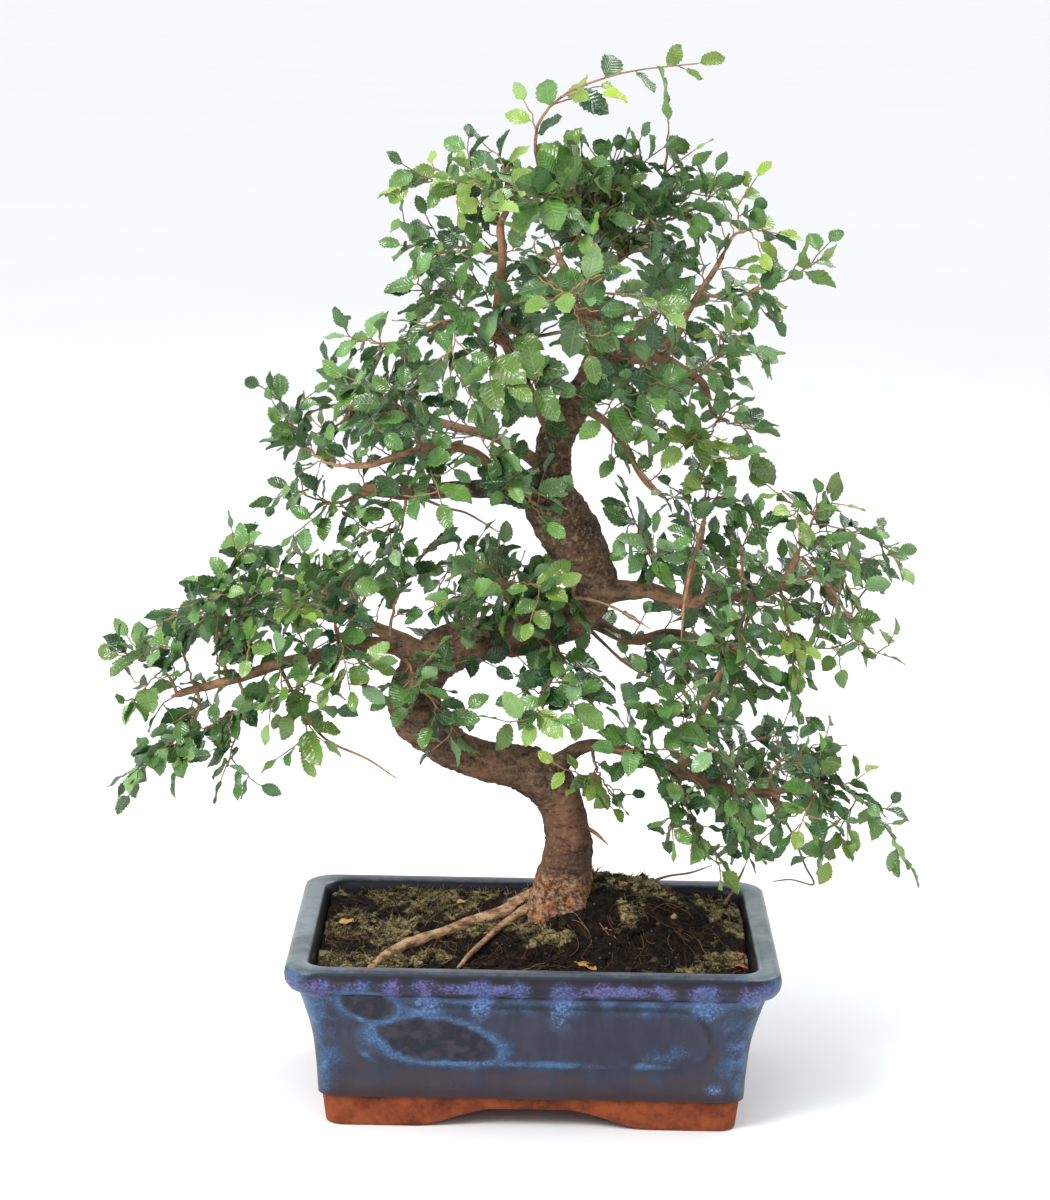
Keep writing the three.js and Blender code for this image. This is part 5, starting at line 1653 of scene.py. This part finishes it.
@dataclass
class Growth:
    """Stems with leaves in two ranks, and the short side twigs that they bear. Sizes are in millimetres.

    A facing is how much a leaf's face looks away from the tree's middle, and how widely it swings.
    """

    blades: Blades = Blades()
    twig_step: float = 6.8
    twig_reach: Pair = (8, 19)
    leaf_share: float = 0.83
    leaf_gap: float = 0.55
    bare_foot: float = 2
    bare_tip: float = 3
    twig_girth: float = 0.36
    twig_points: int = 6
    twig_bow: float = 0.05
    tip_girth: float = 0.28
    stem_sides: int = 5
    lean: float = 0.95
    stem_facing: Pair = (0.7, 0.9)
    twig_facing: Pair = (0.45, 2.0)
    foot_facing: Pair = (0.3, 0.9)
    lift: float = 9
    low: Array = field(default_factory=lambda: (np.array(CAD_BOX[0]) - POT_MIDDLE) / MM + (4, 9, 0))
    high: Array = field(default_factory=lambda: (np.array(CAD_BOX[1]) - POT_MIDDLE) / MM - (4, 9, 3))

    def bend(self, base: Array, lead: Array, tip: Array, bow: float, count: int) -> Array:
        """A stem's course: a curve with one control point, 0.4 of the reach out along the lead.

        Args:
            base: Its foot.
            lead: Its way there.
            tip: Its end.
            bow: The control point's lift, as a share of the reach.
            count: How many points it has.

        Returns:
            The points.
        """
        reach = np.linalg.norm(tip - base)
        middle = base + lead * 0.4 * reach + np.array((0, 0, reach * bow))
        t = np.linspace(0, 1, count)[:, None]
        return base * (1 - t) ** 2 + 2 * middle * t * (1 - t) + tip * t**2

    def crook(self, course: Array, seed: float) -> Array:
        """Kinks a stem to either side in turn at its nodes, and leaves its two ends where they are."""
        order = np.arange(len(course))[:, None]
        aside = draw(seed + 0.7, order * 3 + np.arange(3)) - 0.5
        hold = np.sin(np.pi * np.linspace(0, 1, len(course)))[:, None] ** 0.5
        return course + hold * (1.1 * aside + 0.22 * np.where(order % 2, 1, -1))

    def follow(self, course: Array, at: Array) -> tuple[Array, Array]:
        """Points at distances along a course, and its heading at each."""
        run = run_along(course)
        points, ahead, behind = (
            np.stack([np.interp(place, run, course[:, axis]) for axis in range(3)], axis=-1)
            for place in (at, at + 0.6, at - 0.6)
        )
        return points, unit(ahead - behind)

    def leaf_places(
        self, roots: Array, headings: Array, orders: Array, seed: float, outward: float, spread: float
    ) -> tuple[Array, Array]:
        """Each leaf's way out and face: it leans to either side in turn, or carries the stem on at its tip.

        Args:
            roots: Where the leaves leave the stem.
            headings: The stem's way there.
            orders: The leaves' places from the tip.
            seed: The stem's seed.
            outward: How much a face looks away from the tree's middle.
            spread: How widely it swings.

        Returns:
            The ways out and the faces.
        """
        swing = draw(seed, orders[:, None] * 5 + np.arange(5)) - 0.5
        away = unit((roots - TREE_AXIS) * (1, 1, 0))
        sway = spread * swing
        swings = spread_points(sway[:, 1], sway[:, 2], 0.6 + 0.8 * swing[:, 3])
        face = unit(away * outward + swings)
        sideways = unit(np.cross(face, headings))
        rank = np.where(orders % 2, 1, -1)
        lean = np.where(orders == 0, 0.5 * swing[:, 4], rank * (self.lean + 0.4 * swing[:, 4]))[:, None]
        return headings * np.cos(lean) + sideways * np.sin(lean), face

    def leaves_on(
        self, course: Array, size: float, seed: float, bare: float, youth: float, side: bool
    ) -> LeafRun:
        """The leaves along one course, from its tip back to its bare foot.

        Args:
            course: The stem's points.
            size: The leaf length.
            seed: The seed.
            bare: How much of the foot is bare.
            youth: How new the leaf at the tip is.
            side: Whether it is a side twig, whose leaves face every way.

        Returns:
            The leaves.
        """
        total = steps_along(course).sum()
        step = size * self.leaf_gap
        orders = np.arange(max(int((total - bare) / step), 0) + 1)
        roots, headings = self.follow(course, total - orders * step)
        facing = self.twig_facing if side else self.stem_facing
        direction, face = self.leaf_places(roots, headings, orders, seed, *facing)
        length = np.where(orders == 0, size * 0.85, size * (0.9 + 0.35 * draw(seed, orders)))
        tint = draw(seed + 0.5, orders + 3)
        fresh = youth * smooth_step(-orders, -3.5, 0) * (0.6 + 0.4 * tint)
        return LeafRun(roots, direction, face, length, tint, fresh)

    def add_stem(
        self, surface: Surface, course: Array, girth: float, size: float, seed: float, bare: float,
        youth: float, side: bool,
    ) -> int:
        """Adds one stem with its leaves, and says how many leaves it has."""
        radii = np.linspace(girth, min(girth, self.tip_girth), len(course))
        surface.add(to_frame_tube(course, radii, self.stem_sides), girth=radii[:, None])
        leaves = self.leaves_on(course, size, seed, bare, youth, side)
        self.blades.add(surface, leaves)
        return len(leaves.length)

    def add_twigs(
        self, surface: Surface, course: Array, seed: float, size: float, youth: float, start: float,
        end: float,
    ) -> int:
        """Adds short leafy side twigs along a stem or a branch, to each side in turn.

        A twig leaves at a slant and rises or hangs by a draw, and stays inside the solids' own box.

        Args:
            surface: Where they go.
            course: The stem's points, with a radius in a fourth column where it is thick.
            seed: The stem's seed.
            size: The leaf length.
            youth: How new the newest leaves are.
            start: Where the first twig stands along the stem.
            end: How much of the tip is bare.

        Returns:
            How many leaves they have.
        """
        line, length = course[:, :3], steps_along(course).sum()
        places = np.arange(start, length - end, self.twig_step)
        places = places + self.twig_step * 0.5 * draw(seed, places)
        roots, headings = self.follow(line, places)
        depths = np.interp(places / length, np.linspace(0, 1, len(course)), course[:, -1])
        orders = np.arange(1, len(places) + 1)
        leads, faces = self.leaf_places(roots, headings, orders, seed + 0.6, *self.foot_facing)
        chances = draw(seed + 0.25, orders[:, None] * 4 + np.arange(4))
        total = 0
        twigs = zip(roots, headings, leads, faces, chances)
        for k, (root, heading, lead, face, chance) in enumerate(twigs):
            depth = depths[k] if course.shape[1] == 4 else 0
            lead = unit(lead + (chance[0] - 0.4) * 1.5 * face)
            low, high = self.twig_reach
            reach = depth + low + (high - low) * chance[1] ** 1.3
            tip = root + lead * reach + np.array((0, 0, (chance[2] - 0.5) * self.lift))
            if np.any(tip < self.low) or np.any(tip > self.high):
                continue
            own = seed * 3.1 + k + 1
            way = unit(lead + heading * 0.5)
            twig = self.crook(self.bend(root, way, tip, self.twig_bow, self.twig_points), own)
            fresh = youth * (chance[3] > 0.5)
            bare = self.bare_foot + depth
            leaf = size * self.leaf_share
            total += self.add_stem(surface, twig, self.twig_girth, leaf, own, bare, fresh, True)
        return total


@dataclass
class Spray(Growth):
    """One spray: stems that fork from a first one, side twigs, and leaves in two ranks on them all."""

    number: int = 0
    title: str = ""
    branch: str = ""
    share: float = 0
    leaf_length: float = 12
    tips: list[Array] = field(default_factory=list)
    first_girth: float = 0.85
    fork_girth: float = 0.42
    stem_points: int = 14
    leafless_foot: float = 9
    first_twig: float = 5

    def rooting(self) -> tuple[Array, Array, Array]:
        """Where the first stem leaves its branch: square to it, or in line with the branch's end.

        Returns:
            The point in the branch's middle, the point on its bark, and the way out.
        """
        rows = np.array(TRUNK if self.branch == "trunk" else BRANCHES[self.branch], float)
        at = self.share * (len(rows) - 1)
        low = min(int(at), len(rows) - 2)
        row = rows[low] + (rows[low + 1] - rows[low]) * (at - low)
        heading = unit(rows[low + 1, :3] - rows[low, :3])
        lead = self.tips[0] - row[:3]
        lead = heading if self.share == 1 else unit(lead - heading * (lead @ heading))
        return row[:3], row[:3] + lead * (row[3] + 1), lead

    def stems(self) -> Iterator[tuple[Array, float, int]]:
        """The stems' courses, each with its girth and its seed: the others fork from the first."""
        centre, base, lead = self.rooting()
        first = np.array([])
        for k, tip in enumerate(self.tips):
            if k:
                base = centre = first[round(FORK_SHARES[k] * (len(first) - 1))]
                lead = unit(tip - base)
            bow = STEM_BOWS[PASSING_STEMS.get((self.number, k), 0)]
            course = self.bend(base, lead, tip, bow, self.stem_points)
            first = first if k else course
            seed = self.number * 7 + k
            girth = self.fork_girth if k else self.first_girth
            yield np.vstack([centre - lead * 0.2, self.crook(course, seed)]), girth, seed

    def build(self, materials: Sequence[Material], youth: float) -> int:
        """Makes the spray in one mesh and seats it over its solid.

        Args:
            materials: Bark, the blade's top and its underside.
            youth: How new its youngest leaves are.

        Returns:
            How many leaves it carries.
        """
        surface = Surface("tint", "youth", "girth")
        total, size = 0, self.leaf_length
        for course, girth, seed in self.stems():
            fresh = youth * (0.4 + 0.6 * draw(seed, 23))
            total += self.add_stem(surface, course, girth, size, seed, self.leafless_foot, fresh, False)
            total += self.add_twigs(surface, course, seed, size, fresh, self.first_twig, self.bare_tip)
        seat_piece(surface.build("foliage_" + self.title, materials), "leaf", self.title)
        return total


@dataclass
class Shoots(Growth):
    """Leafy shoots that stand straight on a branch's bark, all round it."""

    twig_step: float = 5.8
    twig_reach: Pair = (8, 20)
    trunk_step: float = 2.1
    trunk_reach: Pair = (9, 27)
    stations: int = 60
    leaf_length: float = 12.5
    youth: float = 0.12
    pad_leaf: float = 12
    pad_youth: float = 0.2
    pad_girth: float = 0.6
    pad_bow: float = 0.08
    pad_points: int = 10
    pad_foot: float = 6

    def build(self, branch: str, span: Pair, materials: Sequence[Material]) -> int:
        """Makes one branch's shoots in one mesh.

        Args:
            branch: The branch, or the trunk.
            span: The shares of its length between which the shoots stand.
            materials: Bark, the blade's top and its underside.

        Returns:
            How many leaves they carry.
        """
        rows = TRUNK if branch == "trunk" else BRANCHES[branch]
        if branch == "trunk":
            self.twig_step, self.twig_reach = self.trunk_step, self.trunk_reach
        course = smooth_course(rows, self.stations)
        seed = 400.0 + 13 * len(rows) + rows[-1][2]
        start, end = (share * steps_along(course).sum() for share in (span[0], 1 - span[1]))
        surface = Surface("tint", "youth", "girth")
        total = self.add_twigs(surface, course, seed, self.leaf_length, self.youth, start, end)
        foot, fresh = self.pad_foot, self.pad_youth
        for k, (share, tip) in enumerate(PAD_SHOOTS.get(branch, ())):
            own = seed + 90 + k
            root = course[round(share * (self.stations - 1)), :3]
            stem = self.bend(root, unit(tip - root), np.array(tip), self.pad_bow, self.pad_points)
            stem = self.crook(stem, own)
            total += self.add_stem(
                surface, stem, self.pad_girth, self.leaf_length, own, foot, fresh, False)
            total += self.add_twigs(surface, stem, own, self.pad_leaf, fresh, foot, self.bare_tip)
        seat_piece(surface.build("shoots_" + branch, materials), "leaf")
        return total


@dataclass
class Foliage:
    """All the sprays, each named after its branch and its place on it, and the shoots on the branches.

    The spans are the shares of each branch that bear shoots. The young sprays are listed by their branch
    and their place on it, with how new their leaves are.
    """

    spans: dict[str, Pair] = field(default_factory=lambda: {
        "left_crown_low": (0.5, 1), "left_crown_mid": (0.3, 1), "left_crown_back": (0.35, 1),
        "left_low": (0.3, 0.98), "left_low_back": (0.3, 1), "right_low": (0.42, 1),
        "right_low_up": (0.1, 1), "right_mid": (0.3, 1), "right_mid_end": (0.2, 1),
        "right_back": (0.35, 1), "right_stub": (0.3, 1), "crown_left": (0.15, 1),
        "crown_left_arch": (0.2, 1), "crown_right": (0.25, 1), "crown_right_up": (0.1, 1),
        "crown_top": (0.1, 1), "crown_top_right": (0.1, 1), "crown_back": (0.3, 1),
        "crown_back_right": (0.3, 1), "crown_front": (0.25, 1), "middle_back": (0.3, 1),
        "cross_twig": (0.2, 1), "trunk": (0.44, 0.6),
    })
    thick: tuple[str, ...] = ("left_low", "left_low_back", "left_crown_mid")
    thick_step: float = 5.8
    slim: tuple[str, ...] = ("crown_top_spray_1", "crown_top_right_spray_1")
    slim_step: float = 22
    slim_gap: float = 1.0
    plain_youth: float = 0.12
    young: dict[str, dict[int, float]] = field(default_factory=lambda: {
        "crown_top": {1: 1}, "crown_top_right": {1: 0.6}, "crown_right_up": {1: 0.9, 2: 1},
        "crown_right": {1: 0.9, 2: 0.8}, "crown_left": {1: 0.35, 3: 0.7}, "crown_front": {1: 0.3},
        "right_mid": {1: 0.5}, "right_mid_end": {1: 0.9, 3: 0.8}, "trunk": {1: 0.35, 2: 0.45},
        "right_low": {1: 0.9, 3: 0.4, 6: 0.75}, "left_low": {1: 0.35, 4: 0.4, 6: 0.5},
    })

    def build(self, bark: Material) -> None:
        """Builds every spray over its own solid, and then the shoots."""
        materials = [bark, LEAF_TOP.material(), LEAF_BACK.material()]
        tally: dict[str, int] = {}
        total = 0
        for number, (branch, share, leaf_length, *tips) in enumerate(SPRAYS):
            tally[branch] = tally.get(branch, 0) + 1
            title = f"{branch}_spray_{tally[branch]}"
            points = [np.array(tip, float) for tip in tips]
            step = self.thick_step if branch in self.thick else Spray.twig_step
            step, gap = (self.slim_step, self.slim_gap) if title in self.slim else (step, Spray.leaf_gap)
            spray = Spray(
                twig_step=step, leaf_gap=gap, number=number, title=title, branch=branch, share=share,
                leaf_length=leaf_length, tips=points,
            )
            youth = self.young.get(branch, {}).get(tally[branch], self.plain_youth)
            total += spray.build(materials, youth)
        for branch, span in self.spans.items():
            total += Shoots().build(branch, span, materials)
        LOG.info("leaves: %d", total)


@dataclass
class Studio:
    """The camera at the photograph's view, its place in millimetres, with a pale floor and soft light."""

    camera_spot: Row = (-1.6, -1422, 504.2)
    yaw: float = -0.19
    pitch: float = 11.36
    roll: float = 1.0
    lens: float = 100.93
    sensor: float = 36
    clip: Pair = (0.05, 100)
    floor_side: float = 60
    floor_tones: tuple[Colour, Colour] = ((0.82, 0.83, 0.84), (0.85, 0.86, 0.865))
    aim: Row = (0, 0, 0.22)
    lamps: tuple[tuple[str, Row, float, float], ...] = (
        ("window_left", (-0.9, -1.0, 1.2), 0.6, 21), ("window_back", (0.7, 0.9, 1.3), 0.8, 10),
    )
    sun_heading: Row = (-0.5, -0.6, 1.0)
    sun_power: float = 1.0
    sun_spread: float = 60
    sky_colour: Colour = (0.96, 0.975, 1.0)
    sky_strength: float = 0.9

    def camera(self) -> None:
        """Stands the camera: it looks along yaw and down by the pitch, and is rolled about its own line."""
        yaw, pitch, roll = np.radians((self.yaw, self.pitch, self.roll))
        forward = np.array((np.sin(yaw) * np.cos(pitch), np.cos(yaw) * np.cos(pitch), -np.sin(pitch)))
        level = np.array((np.cos(yaw), -np.sin(yaw), 0))
        upright = np.cross(level, forward)
        right = np.cos(roll) * level + np.sin(roll) * upright
        up = np.cos(roll) * upright - np.sin(roll) * level
        data = bpy.data.cameras.new("camera")
        data.lens, data.sensor_width = self.lens, self.sensor
        data.clip_start, data.clip_end = self.clip
        camera = place_object("camera", data)
        turn = Matrix(np.column_stack([right, up, -forward]).tolist()).to_4x4()
        camera.matrix_world = Matrix.Translation(to_frame(np.array(self.camera_spot)).tolist()) @ turn
        bpy.context.scene.camera = camera

    def floor(self) -> None:
        """Lays a wide pale floor."""
        graph = Graph("floor")
        shade = graph.noise(graph.place(), 0.4, 2)
        finish = graph.finish(graph.mix(shade, *self.floor_tones), 0.9)
        half = self.floor_side / 2
        mesh = bpy.data.meshes.new("floor")
        corners = [(-half, -half, 0), (half, -half, 0), (half, half, 0), (-half, half, 0)]
        mesh.from_pydata(corners, [], [(0, 1, 2, 3)])
        mesh.materials.append(finish)
        place_object("floor", mesh)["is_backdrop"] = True

    def lamp(self, name: str, spot: Row, side: float, power: float) -> None:
        """Hangs a square soft light that looks at the middle of the tree, with its place in metres."""
        data = bpy.data.lights.new(name, "AREA")
        data.size, data.energy = side, power
        light = place_object(name, data)
        light.location = spot
        light.rotation_euler = (Vector(self.aim) - light.location).to_track_quat("-Z", "Y").to_euler()

    def sun(self) -> None:
        """Sets a very soft sun over the viewer's left shoulder."""
        data = bpy.data.lights.new("soft_sun", "SUN")
        data.energy, data.angle = self.sun_power, np.radians(self.sun_spread)
        light = place_object("soft_sun", data)
        light.rotation_euler = Vector(self.sun_heading).to_track_quat("Z", "Y").to_euler()

    def sky(self) -> None:
        """Lights the scene evenly from all round."""
        world = bpy.data.worlds.new("sky")
        world.use_nodes = True
        back = world.node_tree.nodes["Background"]
        back.inputs["Color"].default_value = (*self.sky_colour, 1)
        back.inputs["Strength"].default_value = self.sky_strength
        bpy.context.scene.world = world
        bpy.context.scene.view_settings.view_transform = "Standard"

    def build(self) -> None:
        """Sets up the whole studio."""
        self.camera()
        self.floor()
        self.sun()
        for name, spot, side, power in self.lamps:
            self.lamp(name, spot, side, power)
        self.sky()


def main() -> None:
    """Builds the scene piece by piece."""
    logging.basicConfig(level=logging.INFO, format="%(message)s")
    Studio().build()
    pot = Pot()
    pot.build()
    soil_finish = Ground().material()
    bed = SoilBed()
    bed.build_bed(pot, soil_finish)
    bed.build_litter(soil_finish, Litter().material())
    bed.build_fallen_leaves(Blades(), LITTER_LEAF.material())
    screen_finish = MeshPlastic().material()
    for name in ("drain_screen_left", "drain_screen_right"):
        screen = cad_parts[name].data
        screen.materials.clear()
        screen.materials.append(screen_finish)
    bark = Bark().material()
    Wood().build(bark)
    Foliage().build(bark)
    boxes = {"cad": CAD_BOX, "visual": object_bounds()}
    {name: [list(corner) for corner in box] for name, box in boxes.items()}


if __name__ == "__main__":
    main()
